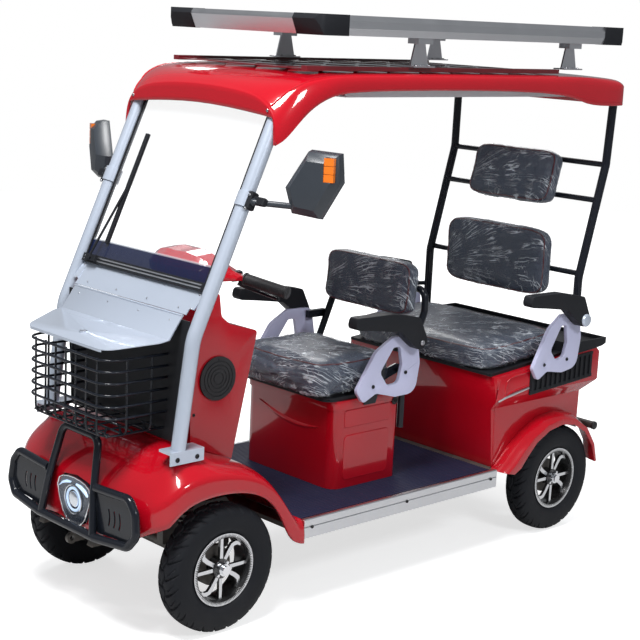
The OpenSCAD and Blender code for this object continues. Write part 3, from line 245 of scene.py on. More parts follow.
def finish(name, colour, other, rough, spread=0.08, metal=0.0, coat=0.0, coat_rough=0.04, grain=(600, 0.0),
           worn=None, wear=0.5, dust=0.0, dust_top=0.4, drift=(6, 0.5), sheen=0.5, glow=None):
    """A material with drifting colour, smudged gloss, grain, rubbed edges and road dust."""
    material, tree, shader = new_material(name)
    tone = use(tree, DRIFT, [("Colour", rgba(colour)), ("Other Colour", rgba(other)), ("Scale", drift[0]),
                             ("Amount", drift[1])])["Colour"]
    if worn:
        tone = blend(tree, use(tree, WEAR, [("Amount", wear)])["Mask"], tone, worn)
    if dust:
        tone = blend(tree, use(tree, DUST, [("Amount", dust), ("Top", dust_top)])["Mask"], tone, DUST_TONE)
    gloss = use(tree, SMUDGE, [("Roughness", rough), ("Spread", spread)])[0]
    fill(tree, shader, [("Base Color", tone), ("Roughness", gloss), ("Metallic", metal), ("Coat Weight", coat),
                        ("Coat Roughness", coat_rough), ("Specular IOR Level", sheen)])
    if glow:
        fill(tree, shader, [("Emission Color", rgba(glow[0])), ("Emission Strength", glow[1])])
    if grain[1]:
        bump(tree, shader, use(tree, GRAIN, [("Scale", grain[0])])["Height"], grain[1], 0.0005)
    return material


RED = finish("gloss red paint", (0.46, 0.003, 0.012), (0.37, 0.002, 0.009), 0.26, 0.04, coat=1.0,
             coat_rough=0.015, grain=(260, 0.02), worn=(0.6, 0.06, 0.07), wear=0.3, dust=0.03, sheen=0.12)
# Darker red on the roof insert is painted shade: the red insert is coloured as it looks in shade.
SHADED_INSERT = finish("roof insert red with painted shade", (0.17, 0.003, 0.01), (0.1, 0.002, 0.006), 0.32, coat=0.7,
                grain=(420, 0.1))
SILVER = finish("pale silver paint", (0.53, 0.59, 0.69), (0.46, 0.52, 0.63), 0.3, metal=0.35, coat=0.8,
                grain=(900, 0.06), worn=(0.7, 0.72, 0.76))
LAVENDER = finish("lavender armrest frame paint", (0.58, 0.59, 0.8), (0.52, 0.53, 0.72), 0.38, coat=0.4,
                  grain=(800, 0.08), worn=(0.7, 0.7, 0.8))
BLACK_TUBE = finish("black gloss tube", (0.008, 0.01, 0.015), (0.013, 0.015, 0.021), 0.24, coat=0.35,
                    grain=(500, 0.05), worn=(0.1, 0.1, 0.11), dust=0.02, sheen=0.15)
BLACK_PLASTIC = finish("black grained plastic", (0.014, 0.015, 0.018), (0.024, 0.025, 0.029), 0.48, 0.14,
                       grain=(1100, 0.35), worn=(0.06, 0.06, 0.065), dust=0.02, sheen=0.14)
GREY_PLASTIC = finish("dark grey mirror plastic", (0.035, 0.042, 0.052), (0.026, 0.03, 0.038), 0.36, 0.14,
                      grain=(1200, 0.25), worn=(0.1, 0.11, 0.12))
FRAME_STEEL = finish("black chassis paint", (0.018, 0.018, 0.02), (0.04, 0.034, 0.03), 0.5, 0.2,
                     grain=(300, 0.4), worn=(0.15, 0.13, 0.12), dust=0.7, dust_top=0.5)
ALUMINIUM = finish("brushed aluminium", (0.72, 0.73, 0.75), (0.62, 0.63, 0.66), 0.33, 0.16, metal=1.0,
                   grain=(700, 0.12), dust=0.08)
MACHINED = finish("machined rim metal", (0.74, 0.75, 0.77), (0.66, 0.67, 0.7), 0.2, 0.1, metal=1.0, coat=0.4,
                  grain=(900, 0.08), dust=0.15)
RIM_BLACK = finish("black rim paint", (0.014, 0.015, 0.017), (0.018, 0.018, 0.02), 0.25, coat=0.5, dust=0.06,
                   grain=(500, 0.05))
CHROME = finish("chromed cap", (0.85, 0.86, 0.88), (0.8, 0.81, 0.83), 0.07, 0.05, metal=1.0)
BOLT = finish("zinc bolt", (0.5, 0.5, 0.52), (0.4, 0.4, 0.42), 0.35, 0.2, metal=1.0, grain=(900, 0.2))
DARK_BOLT = finish("black bolt", (0.02, 0.02, 0.022), (0.035, 0.035, 0.037), 0.35, 0.15, metal=0.6,
                   grain=(900, 0.2))
RUBBER = finish("tyre rubber", (0.008, 0.009, 0.012), (0.013, 0.014, 0.018), 0.6, 0.15, grain=(900, 0.4),
                dust=0.04, dust_top=0.15, sheen=0.2)
GRIP = finish("grip rubber", (0.012, 0.012, 0.014), (0.02, 0.02, 0.022), 0.55, 0.18, grain=(1500, 0.5))
MAT = finish("navy ribbed mat", (0.01, 0.013, 0.042), (0.016, 0.019, 0.048), 0.55, 0.2, grain=(900, 0.5),
             dust=0.14, dust_top=0.35, sheen=0.25)
LINER = finish("pale roof liner", (0.72, 0.73, 0.76), (0.66, 0.67, 0.7), 0.4, 0.1, grain=(700, 0.1))
VINYL = finish("dark blue seat vinyl", (0.008, 0.017, 0.042), (0.013, 0.026, 0.06), 0.45, 0.16, coat=0.15,
               grain=(520, 0.6), drift=(11, 0.8))
PIPING = finish("red seat piping", (0.09, 0.01, 0.016), (0.06, 0.009, 0.014), 0.4, 0.1, grain=(900, 0.3))
AMBER = finish("amber lamp", (0.72, 0.13, 0.005), (0.9, 0.25, 0.01), 0.15, 0.05, coat=1.0, grain=(300, 0.2),
               glow=((1.0, 0.3, 0.02), 0.12))
TAIL_RED = finish("red tail lamp", (0.5, 0.005, 0.01), (0.6, 0.02, 0.02), 0.15, 0.05, coat=1.0,
                  grain=(300, 0.2))
LAMP_DARK = finish("smoked lamp bowl", (0.012, 0.017, 0.03), (0.03, 0.04, 0.07), 0.25, 0.08, metal=0.3,
                   coat=0.5, drift=(30, 0.9))
LED = finish("pale lamp ring", (0.5, 0.68, 1.0), (0.4, 0.6, 0.95), 0.2, 0.05, coat=1.0,
             glow=((0.7, 0.85, 1.0), 0.45))
MIRROR = finish("mirror glass", (0.82, 0.85, 0.88), (0.8, 0.83, 0.87), 0.03, 0.02, metal=1.0)


def clear_material(name, colour, rough, alpha):
    material, tree, shader = new_material(name)
    gloss = use(tree, SMUDGE, [("Roughness", rough), ("Spread", 0.04), ("Scale", 9.0)])[0]
    fill(tree, shader, [("Base Color", rgba(colour)), ("Roughness", gloss), ("Alpha", alpha), ("IOR", 1.45)])
    return material, tree, shader


def windscreen_material():
    """Clear sheet with a dark blue band along its lower edge."""
    clear, tinted = (0.9, 0.95, 1.0), (0.008, 0.014, 0.05)
    material, tree, shader = clear_material("windscreen sheet", clear, 0.02, 0.06)
    band = ramp(tree, own_axis(tree, "Z"), 1.093, 1.1, 1.0, 0.0)
    fill(tree, shader, [("Base Color", blend(tree, band, clear, tinted)),
                        ("Alpha", reckon(tree, "MULTIPLY_ADD", band, 0.8, 0.06))])
    return material


def film_material():
    """Crumpled clear wrapping film, whiter along its folds as a painted highlight."""
    material, tree, shader = clear_material("clear wrapping film", (0.8, 0.86, 0.93), 0.16, 0.2)
    folds = use(tree, FOLDS, [("Scale", 1.0)])
    bump(tree, shader, folds["Height"], 0.6, 0.004)
    # Along the crests the film turns nearly opaque in its pale colour: a painted highlight on the folds.
    fill(tree, shader, [("Alpha", ramp(tree, folds["Painted Highlight Crests"], 0.0, 1.0, 0.08, 0.9))])
    return material


def solar_material():
    """Dark blue cells with pale gaps and thin bus lines, under glass."""
    material, tree, shader = new_material("solar cells")
    masks = []
    for axis, pitch, width in (("X", 0.1605, 0.02), ("Y", 0.1575, 0.02), ("X", 0.04013, 0.035)):
        part = reckon(tree, "FRACT", reckon(tree, "DIVIDE", own_axis(tree, axis), pitch))
        masks.append(reckon(tree, "LESS_THAN", part, width))
    tone = use(tree, DRIFT, [("Colour", (0.012, 0.022, 0.075, 1)), ("Other Colour", (0.02, 0.04, 0.12, 1)),
                             ("Scale", 40.0), ("Amount", 0.9)])["Colour"]
    tone = blend(tree, masks[2], tone, (0.28, 0.3, 0.34))
    tone = blend(tree, reckon(tree, "MAXIMUM", masks[0], masks[1]), tone, (0.4, 0.42, 0.46))
    gloss = use(tree, SMUDGE, [("Roughness", 0.2), ("Spread", 0.06)])[0]
    fill(tree, shader, [("Base Color", tone), ("Roughness", gloss), ("Coat Weight", 1.0)])
    return material


def speaker_material():
    """Black woven speaker cloth."""
    material = finish("speaker cloth", (0.012, 0.012, 0.014), (0.03, 0.03, 0.034), 0.7, 0.1)
    tree = material.node_tree
    weave = node(tree, "TexVoronoi", [("Vector", own_place(tree)), ("Scale", 520.0)])
    bump(tree, tree.nodes["Principled BSDF"], weave.outputs["Distance"], 0.8, 0.0008)
    return material


SCREEN, FILM, CELLS, SPEAKER = windscreen_material(), film_material(), solar_material(), speaker_material()
LENS = clear_material("clear lamp cover", (0.75, 0.85, 1.0), 0.04, 0.06)[0]


# Materials of the frame's own pieces
def dress(name, *materials, choose=None):
    """Gives a frame piece its materials; choose(place, normal) picks one by its number."""
    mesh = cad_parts[name].data
    mesh.materials.clear()
    for material in materials:
        mesh.materials.append(material)
    for face in mesh.polygons:
        face.material_index = choose(millimetres(face.center), face.normal) if choose else 0


def rim_part(side, wheel_y):
    """Chrome cap and nuts, machined lip and spoke faces, black elsewhere."""
    def pick(p, normal):
        out = p.x * side - WHEEL_X
        radius = math.hypot(p.y - wheel_y, p.z - HUB_Z)
        if radius < 34:
            return 2 if out > 26.6 else 0
        if radius > 104:
            return 1 if out > 33 and normal.x * side > 0.5 else 0
        return 1 if normal.x * side > 0.8 and 10 < out < 27 else 0
    return pick


def lamp_part(p, normal):
    return 1 if 28 < math.hypot(p.x, p.z - LAMP_Z) < 40 and p.y < -276.2 else 0


def dress_frame():
    plain = {
        RED: ("front_body", "front_column", "roof", "dash_pod", "front_seat_box", "rear_box", "rear_fenders"),
        SHADED_INSERT: ("roof_lattice",),
        SILVER: ("front_plate", "lid", "front_posts"),
        LAVENDER: ("arm_frames",),
        BLACK_TUBE: ("bumper", "basket", "rear_posts", "front_back_frame", "tiller"),
        BLACK_PLASTIC: ("basket_back", "screen_frame", "seat_pan", "arm_fl", "arm_fr", "arm_rl", "arm_rr",
                        "rear_tray", "battery", "solar_corners"),
        GREY_PLASTIC: ("mirror_housings",),
        FRAME_STEEL: ("chassis", "floor_deck", "front_axle", "rear_axle", "tie_rod", "knuckle_l", "knuckle_r"),
        ALUMINIUM: ("side_rails", "roof_frame", "solar_frame", "solar_feet"),
        MAT: ("floor_mat",), LINER: ("roof_liner",), SCREEN: ("windscreen",), CELLS: ("solar_panel",),
        MIRROR: ("mirror_glass",),
    }
    for material, names in plain.items():
        for name in names:
            dress(name, material)
    for name, side, wheel_y in WHEELS:
        dress("rim_" + name, RIM_BLACK, MACHINED, CHROME, choose=rim_part(side, wheel_y))
    dress("headlamp", LAMP_DARK, LED, choose=lamp_part)
    dress("signal_lamps", AMBER, TAIL_RED, choose=lambda p, normal: 1 if p.y > 1000 else 0)
    dress("grille_covers", SPEAKER, BLACK_PLASTIC, choose=lambda p, normal: 1 if p.y > 1000 else 0)


dress_frame()


# Making meshes
class Shape:
    """Collects tubes, turned pieces and blocks into one mesh."""

    def __init__(self):
        self.verts, self.faces, self.kinds = [], [], []

    def add(self, verts, faces, kind=0):
        first = len(self.verts)
        self.verts += [Vector(v) for v in verts]
        self.faces += [[first + i for i in face] for face in faces]
        self.kinds += [kind] * len(faces)

    def rings(self, rows, kind=0, closed=False, caps=True):
        """Skin through rows of points that all have one length."""
        n = len(rows[0])
        m = len(rows)
        faces = []
        for i in range(m if closed else m - 1):
            for j in range(n):
                a, b = i * n + j, i * n + (j + 1) % n
                c, d = ((i + 1) % m) * n + (j + 1) % n, ((i + 1) % m) * n + j
                faces.append([a, b, c, d])
        if caps and not closed:
            faces += [list(range(n))[::-1], [(m - 1) * n + j for j in range(n)]]
        self.add([p for row in rows for p in row], faces, kind)

    def tube(self, path, radius, sides=10, kind=0, closed=False, flat=1.0):
        path = [Vector(p) for p in path]
        rows, side = [], None
        for i, p in enumerate(path):
            if closed:
                along = path[(i + 1) % len(path)] - path[i - 1]
            else:
                along = path[min(i + 1, len(path) - 1)] - path[max(i - 1, 0)]
            along.normalize()
            if side is None:
                side = along.orthogonal().normalized()
            side = (side - along * side.dot(along)).normalized()
            up = along.cross(side)
            r = radius[i] if isinstance(radius, (list, tuple)) else radius
            rows.append([p + r * (math.cos(t) * side + flat * math.sin(t) * up)
                         for t in (2 * math.pi * k / sides for k in range(sides))])
        self.rings(rows, kind, closed)

    def turned(self, centre, axis, profile, sides=24, kind=0):
        """Round piece: profile rows are (distance along the axis, radius) in millimetres."""
        axis = Vector(axis).normalized()
        side = axis.orthogonal().normalized()
        up = axis.cross(side)
        self.rings([[centre + axis * (a / 1000) + (r / 1000) * (math.cos(t) * side + math.sin(t) * up)
                     for t in (2 * math.pi * k / sides for k in range(sides))] for a, r in profile], kind)

    def block(self, centre, half, turn=None, kind=0, bevel=0.18):
        """Box with softened edges; half holds its half sizes in millimetres."""
        turn = turn or Matrix.Identity(3)
        b = min(half) * bevel
        rows = []
        for z, inset in ((-half[2], b), (-half[2] + b, 0), (half[2] - b, 0), (half[2], b)):
            hx, hy = half[0] - inset, half[1] - inset
            rows.append([centre + turn @ Vector((x / 1000, y / 1000, z / 1000)) for x, y in (
                (-hx + b, -hy), (hx - b, -hy), (hx, -hy + b), (hx, hy - b),
                (hx - b, hy), (-hx + b, hy), (-hx, hy - b), (-hx, -hy + b))])
        self.rings(rows, kind)

    def bolt(self, centre, axis, radius, height=None, kind=0):
        """Socket-head bolt or rivet standing on a surface."""
        h = height or radius * 0.7
        self.turned(centre, axis, [(-0.5, radius), (h * 0.6, radius), (h, radius * 0.78), (h, radius * 0.42),
                                   (h * 0.45, radius * 0.38), (h * 0.45, 0.05)], 12, kind)

    def done(self, name, body, slot, *materials, smooth=40):
        mesh = bpy.data.meshes.new(name)
        mesh.from_pydata([tuple(v) for v in self.verts], [], self.faces)
        for material in materials:
            mesh.materials.append(material)
        mesh.polygons.foreach_set("material_index", self.kinds)
        mesh.update()
        made = bpy.data.objects.new(name, mesh)
        scene.collection.objects.link(made)
        mesh.shade_smooth()
        mesh.set_sharp_from_angle(angle=math.radians(smooth))
        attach(made, body)
        return made


# Tyres: carcass with curved tread blocks
TREAD_PITCH, TREAD_BLOCKS = 49.5, 25


def tyre_section():
    """Outline from bead to bead, as (place across, radius)."""
    points = [(31, 105.3), (32, 113.5), (41, 124), (44.5, 142), (45, 155), (44.5, 170), (41, 182), (33, 192),
              (20, 196), (0, 197)]
    points += [(-x, r) for x, r in points[-2::-1]]
    for _ in range(2):
        points = [points[0]] + [((a[0] * s + b[0] * (1 - s)), (a[1] * s + b[1] * (1 - s)))
                                for a, b in zip(points, points[1:]) for s in (0.75, 0.25)] + [points[-1]]
    return points


def groove(run, across):
    """Depth of the tread grooves at a place along and across the tread."""
    s = abs(across)
    phase = (run + (TREAD_PITCH / 2 if across > 0 else 0) + 26 * s ** 1.6) / TREAD_PITCH
    depth = 0.0
    if s > 0.1:
        near = abs((phase + 0.5) % 1 - 0.5) * TREAD_PITCH
        depth = 5.5 * min(1, max(0, (4.4 - near) / 1.8))
    if 0.32 < s < 0.86:
        bow = 0.18 * math.sin(math.pi * min(1, s * 1.3))
        near = abs((phase + 0.5 - bow + 0.5) % 1 - 0.5) * TREAD_PITCH
        depth = max(depth, 3.2 * min(1, max(0, (2.8 - near) / 1.6)))
    weave = 0.1 * math.sin(2 * math.pi * run / TREAD_PITCH)
    depth = max(depth, 4.5 * min(1, max(0, (0.075 - abs(across - weave)) / 0.035)))
    return depth * min(1, max(0, (1.16 - s) / 0.14))


def make_tyre(name, side, wheel_y):
    section = tyre_section()
    fine = []
    for a, b in zip(section, section[1:]):
        parts = 3 if min(a[1], b[1]) > 168 else 1
        fine += [(a[0] + (b[0] - a[0]) * k / parts, a[1] + (b[1] - a[1]) * k / parts) for k in range(parts)]
    fine.append(section[-1])
    outer = len(fine)
    fine += [(-24, 112), (-30, 170), (-18, 184), (18, 184), (30, 170), (24, 112)]
    steps = 320
    rows = []
    for k in range(steps):
        turn = 2 * math.pi * k / steps
        run = k / steps * TREAD_BLOCKS * TREAD_PITCH
        row = []
        for i, (x, r) in enumerate(fine):
            if i < outer and r > 172:
                r -= groove(run, x / 45 + (0.22 if x > 0 else -0.22) * max(0, 190 - r) / 20)
            if i < outer and 128 < r < 166:
                x += math.copysign(0.5 * math.cos((r - 147) * 0.55), x)
            row.append(at(side * WHEEL_X + x, wheel_y + r * math.cos(turn), HUB_Z + r * math.sin(turn)))
        rows.append(row)
    shape = Shape()
    shape.rings(rows, closed=True)
    made = shape.done("tyre_" + name, "wheel_" + name, "tyre_rubber", RUBBER, smooth=32)
    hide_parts("tyre_" + name)


for wheel in WHEELS:
    make_tyre(*wheel)


# Cushions: swollen vinyl skins, piping and clear wrapping film
def rounded_skin(half, power, parts):
    """Surface of a rounded box from a cube's grid, as points and quads."""
    points, index, faces = [], {}, []

    def corner(p):
        key = tuple(round(c, 5) for c in p)
        if key not in index:
            index[key] = len(points)
            size = sum(abs(c) ** power for c in p) ** (1 / power)
            points.append(Vector([c / size * h for c, h in zip(p, half)]))
        return index[key]

    for axis in range(3):
        for sign in (-1, 1):
            for i in range(parts):
                for j in range(parts):
                    quad = []
                    for u, v in ((i, j), (i + 1, j), (i + 1, j + 1), (i, j + 1)):
                        p = [0, 0, 0]
                        p[axis] = sign
                        p[(axis + 1) % 3] = math.tan((2 * u / parts - 1) * 0.7) / math.tan(0.7)
                        p[(axis + 2) % 3] = math.tan((2 * v / parts - 1) * 0.7) / math.tan(0.7)
                        quad.append(corner(p))
                    faces.append(quad if sign > 0 else quad[::-1])
    return points, faces


def swell(piece, pressure, cap):
    """Short cloth run that fills the skin out; no point moves further than the cap."""
    mesh = piece.data
    start = [v.co.copy() for v in mesh.vertices]
    cloth = piece.modifiers.new("swell", "CLOTH")
    cloth.settings.quality = 4
    cloth.settings.use_pressure = True
    cloth.settings.uniform_pressure_force = pressure
    cloth.settings.tension_stiffness = 25
    cloth.settings.compression_stiffness = 25
    cloth.settings.effector_weights.gravity = 0
    for step in range(1, 19):
        scene.frame_set(step)
    view = bpy.context.evaluated_depsgraph_get()
    shown = piece.evaluated_get(view).to_mesh()
    ends = [v.co.copy() for v in shown.vertices]
    piece.evaluated_get(view).to_mesh_clear()
    piece.modifiers.remove(cloth)
    for vert, a, b in zip(mesh.vertices, start, ends):
        move = b - a
        if move.length > cap:
            move *= cap / move.length
        vert.co = a + move
    scene.frame_set(1)


CUSHIONS = [
    # piece, frame piece, body, centre, half sizes, tilt, crown, seat
    ("front_seat", "front_cushion", "seat", (0, 677, 665.4), (219, 176, 61), 0, 10, True),
    ("front_back_pad", "front_back", "frame", (0, 935, 925), (210, 28, 94), -4, 4, False),
    ("rear_seat", "rear_cushion", "frame", (0, 1380, 690), (346, 205, 43), 4.5, 8, True),
    ("lower_back_pad", "rear_backs", "frame", (0, 1603, 968), (247, 25, 126), 0, 4, False),
    ("upper_back_pad", "rear_backs", "frame", (0, 1672.2, 1272.9), (199, 30, 100), -14.8, 4, False),
]


def make_cushion(name, replaced, body, centre, half, tilt, crown, seat, seed):
    points, faces = rounded_skin(half, 7 if seat else 6, 34 if seat else 30)
    turn = Matrix.Rotation(math.radians(tilt), 3, "X")
    middle = at(*centre)

    def formed(p):
        """Crowns the face that is sat on or leant on, and draws a seat's sides in between its corners."""
        u = p.x / half[0]
        v = p.y / half[1] if seat else p.z / half[2]
        raised = (1 - u * u) * (1 - v * v) * crown
        q = p.copy()
        if seat:
            if p.z > 0:
                q.z += raised - crown * 0.75
            pull = 3.5 * (1 - (p.z / half[2]) ** 2)
            q.x *= 1 - pull * (1 - v * v) / half[0]
            q.y *= 1 - pull * (1 - u * u) / half[1]
        elif p.y < 0:
            q.y -= raised - crown * 0.8
        return q

    skin = [middle + turn @ (formed(p) / 1000) for p in points]
    mesh = bpy.data.meshes.new(name)
    mesh.from_pydata([tuple(p) for p in skin], [], faces)
    made = bpy.data.objects.new(name, mesh)
    scene.collection.objects.link(made)
    swell(made, 3.0, 0.006 if seat else 0.004)
    base_level = -half[2] / 1000
    for vert in mesh.vertices:
        local = turn.transposed() @ (vert.co - middle)
        if seat:
            local.z = max(local.z, base_level)
        else:
            local.y = min(local.y, half[1] / 1000)
        for i, h in enumerate(half):
            local[i] = max(-(h + 3) / 1000, min((h + 3) / 1000, local[i]))
        vert.co = middle + turn @ local
    mesh.update()
    mesh.materials.append(VINYL)
    mesh.shade_smooth()
    smooth = made.modifiers.new("smooth", "SUBSURF")
    smooth.levels = smooth.render_levels = 1
    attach(made, body)
    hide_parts(replaced)
    add_piping(name, body, mesh, faces, half, turn, middle, seat)
    add_film(name, body, made, half, turn, middle, seat, seed)


def add_piping(name, body, skin, faces, half, turn, middle, seat):
    """Piping round the crowned face, a little inside its edge."""
    surface = BVHTree.FromPolygons([v.co for v in skin.vertices], faces)
    path = []
    steps, power, inside = 96, 7, 0.94
    for k in range(steps):
        t = 2 * math.pi * k / steps
        c, s = math.cos(t), math.sin(t)
        size = (abs(c) ** power + abs(s) ** power) ** (1 / power)
        a, b = c / size * inside, s / size * inside
        if seat:
            p = Vector((a * half[0], b * half[1], half[2] * 0.92))
        else:
            p = Vector((a * half[0], -half[1] * 0.92, b * half[2]))
        spot, normal, _, _ = surface.find_nearest(middle + turn @ (p * 1.02 / 1000))
        path.append(spot + normal * 0.0008)
    piping = Shape()
    piping.tube(path, 0.0024, 8, closed=True)
    piping.done(name + "_piping", body, "seat_vinyl", PIPING)


def add_film(name, body, cushion, half, turn, middle, seat, seed):
    """Clear film with real folds that fan out from one corner."""
    view = bpy.context.evaluated_depsgraph_get()
    fine = bpy.data.meshes.new_from_object(cushion.evaluated_get(view))
    level = -half[2] if seat else half[1]
    corner = (-0.7 * half[0], -1.25 * half[1]) if seat else (-1.2 * half[0], -0.5 * half[2])
    places, lifted = [], []
    for vert in fine.vertices:
        local = (turn.transposed() @ (vert.co - middle)) * 1000
        along, third = (local.y, local.z) if seat else (local.z, local.y)
        a, b = local.x - corner[0], along - corner[1]
        way = Vector((math.atan2(b, a) * 9 + third * 0.035, math.hypot(a, b) * 0.012,
                      seed * 3.7 + third * 0.01))
        places.append(way)
        wander = way + noise.noise_vector(local * 0.02 + Vector((seed, 0, 0))) * 1.3
        fold = (1 - min(1, abs(noise.noise(wander * 1.3)) * 3.0)) * 1.5
        fold += 0.5 * (1 - min(1, abs(noise.noise(local * 0.045 + Vector((0, seed * 2.3, 0)))) * 3.5))
        out = Vector([c / h ** 2 for c, h in zip(local, half)]).normalized()
        low = max(0.0, -local.z / half[2]) if seat else 0.0
        moved = local + out * (0.7 + 2.3 * fold * (1 + 0.8 * low))
        if seat:
            moved.z = max(moved.z, level + 0.4)
        else:
            moved.y = min(moved.y, level)
        lifted.append(middle + turn @ (moved / 1000))
    film = Shape()
    film.add(lifted, [list(face.vertices) for face in fine.polygons])
    wrap = film.done(name + "_film", body, "clear_glass", FILM, smooth=180)
    kept = wrap.data.attributes.new("fold_place", "FLOAT_VECTOR", "POINT")
    kept.data.foreach_set("vector", [c for way in places for c in way])


for seed, row in enumerate(CUSHIONS):
    make_cushion(*row, seed)


# Softened copies of coarse frame pieces
def coarse_copy(name):
    """Copy of a frame piece with joined points, its triangles paired to quads again."""
    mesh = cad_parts[name].data.copy()
    mesh.name = name + "_soft"
    form = bmesh.new()
    form.from_mesh(mesh)
    bmesh.ops.remove_doubles(form, verts=form.verts, dist=0.00002)
    bmesh.ops.join_triangles(form, faces=form.faces, angle_face_threshold=math.radians(30),
                             angle_shape_threshold=math.radians(150))
    form.to_mesh(mesh)
    form.free()
    made = bpy.data.objects.new(name + "_soft", mesh)
    made.matrix_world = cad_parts[name].matrix_world
    scene.collection.objects.link(made)
    return made


def finish_copy(made, name, body, smooth):
    view = bpy.context.evaluated_depsgraph_get()
    mesh = bpy.data.meshes.new_from_object(made.evaluated_get(view))
    made.modifiers.clear()
    made.data = mesh
    mesh.shade_smooth()
    mesh.set_sharp_from_angle(angle=math.radians(smooth))
    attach(made, body)
    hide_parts(name)


def rounded_panel(name):
    """Moulded red panel: its facets flow into each other, and its sharper edges stay."""
    made = coarse_copy(name)
    form = bmesh.new()
    form.from_mesh(made.data)
    mark = form.edges.layers.float.new("crease_edge")
    for edge in form.edges:
        if len(edge.link_faces) != 2 or edge.calc_face_angle(0) > math.radians(42):
            edge[mark] = 0.9
    form.to_mesh(made.data)
    form.free()
    flow = made.modifiers.new("flow", "SUBSURF")
    flow.levels = flow.render_levels = 2
    finish_copy(made, name, "frame", 40)


def softened(name, body, width):
    """Moulded or pressed piece with small round edges."""
    made = coarse_copy(name)
    soft = made.modifiers.new("soft", "BEVEL")
    soft.width = width / 1000
    soft.segments = 3
    soft.limit_method = "ANGLE"
    soft.angle_limit = math.radians(35)
    finish_copy(made, name, body, 35)


rounded_panel("front_body")
rounded_panel("roof")
for name, body, slot, width in (
        ("front_seat_box", "frame", "body_red", 4), ("rear_box", "frame", "body_red", 5),
        *((arm, arm, "black_plastic", 7) for arm in ("arm_fl", "arm_fr", "arm_rl", "arm_rr")),
        ("arm_frames", "frame", "arm_frame_paint", 3), ("mirror_housings", "frame", "black_plastic", 4),
        ("front_column", "frame", "body_red", 4), ("lid", "lid", "silver_paint", 0.8),
        ("solar_corners", "frame", "black_plastic", 2), ("rear_fenders", "frame", "body_red", 1.5)):
    softened(name, body, width)


# Small fittings
def fit_body_bolts():
    bolts = Shape()
    for x, places, radius, height in (
            (387, ((345, 262), (770, 262), (1190, 262)), 5.5, 3.5), (200, ((8, 845), (12, 628)), 5, 3),
            (351, ((-162, 556), (-91, 556)), 7.5, 4), (270, ((700, 636), (850, 666)), 6.5, 4),
            (406, ((1416, 646.5), (1543, 652)), 6.5, 3)):
        for side in (1, -1):
            for y, z in places:
                bolts.bolt(at(side * x, y, z), (side, 0, 0), radius, height)
    for t in (math.radians(90 + 120 * k) for k in range(3)):
        for side in (1, -1):
            bolts.bolt(at(side * 205.6, 98 + 61 * math.cos(t), 731 + 61 * math.sin(t)), (side, 0, 0), 3, 1.5)
    bolts.done("body_bolts", "frame", "black_plastic", DARK_BOLT)

    bright = Shape()
    for side in (1, -1):
        bright.bolt(at(side * 311, 880, 771), (side, 0, 0), 9, 5)
        bright.bolt(at(side * 328, 147.5, 1545), (0, -1, 0), 5, 3)
        for y in (747, 807, 1503, 1563):
            bright.bolt(at(side * 318 + 16, y, 1678), (0, 0, 1), 5, 3.5)
    bright.done("bright_bolts", "frame", "aluminium", BOLT)


def fit_pivot_caps():
    caps = Shape()
    profile = [(-0.6, 20), (0, 23), (5, 23), (8, 20.5), (9, 16), (9.4, 0.1)]
    for side in (1, -1):
        caps.turned(at(side * 448, 1581, 798), (side, 0, 0), profile, 32)
    caps.done("pivot_caps", "frame", "arm_frame_paint", SILVER)


def fit_lid():
    rivets = Shape()
    for x in (-232, -78, 78, 232):
        rivets.bolt(at(x, -112, 940.5), (0, -0.72, 0.7), 2.2, 1)
    knob = [(0, 12), (3.4, 12), (4.2, 10.5), (4.2, 6), (3, 5.4), (3, 0.1)]
    rivets.turned(at(0, -251, 876.5), (0, 0, 1), knob, 28)
    rivets.block(at(0, -251, 880), (1, 4.5, 0.6))
    rivets.done("lid_rivets", "lid", "aluminium", BOLT)
    trim = Shape()
    trim.tube([at(-255, -170, 886.8), at(255, -170, 886.8)], 0.0016, 6)
    trim.done("lid_ridges", "lid", "silver_paint", SILVER)
    leaves = Shape()
    for x in (-225, -72, 84, 238):
        leaves.bolt(at(x, -86, 976), (0, -0.85, 0.5), 2.4, 1)
    for x in (-292, 292):
        for y, z in ((-84, 980), (-52, 1018)):
            leaves.bolt(at(x, y, z), (0, -0.85, 0.5), 3, 1.2)
    leaves.done("hinge_rivets", "frame", "aluminium", BOLT)


def fit_basket():
    """Welded basket of round wires; the uprights turn in under the floor."""
    wires = Shape()
    half, front, back, corner = 211.5, -316.5, -99.5, 56

    def ring(x, y, r, z):
        path = [at(-x, back, z), at(-x, y + r + 40, z)]
        for sign, start in ((-1, 180), (1, 270)):
            for k in range(8):
                t = math.radians(start + 90 * k / 7)
                path.append(at(sign * (x - r) + r * math.cos(t), y + r + r * math.sin(t), z))
        return path + [at(x, y + r + 40, z), at(x, back, z)]

    for k in range(6):
        wires.tube(ring(half, front, corner, 661 + 34.5 * k), 0.0041, 10)
    wires.tube(ring(half - 14, front + 14, corner - 14, 607.5), 0.0033, 10)
    turn_in = ((0, 838), (0, 632), (1.5, 620), (6, 611), (14, 606), (24, 607), (31, 614), (34, 626))
    for k in range(-3, 4):
        x = k * (half - corner + 6) / 3
        wires.tube([at(x, front + 5.5 + d, z) for d, z in turn_in], 0.0035, 8)
    for side in (1, -1):
        for y in (-238, -152):
            wires.tube([at(side * (half - 5.5 - d), y, z) for d, z in turn_in], 0.0035, 8)
    for k in range(-3, 4):
        x = k * (half - 22) / 3
        wires.tube([at(x, front + 20, 606.5), at(x, back, 606.5)], 0.0033, 8)
    for k in range(5):
        y = front + 26 + 42 * k
        wires.tube([at(-half + 22, y, 612.5), at(half - 22, y, 612.5)], 0.0033, 8)
    made = wires.done("basket_wires", "frame", "tube_black", BLACK_TUBE)
    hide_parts("basket")


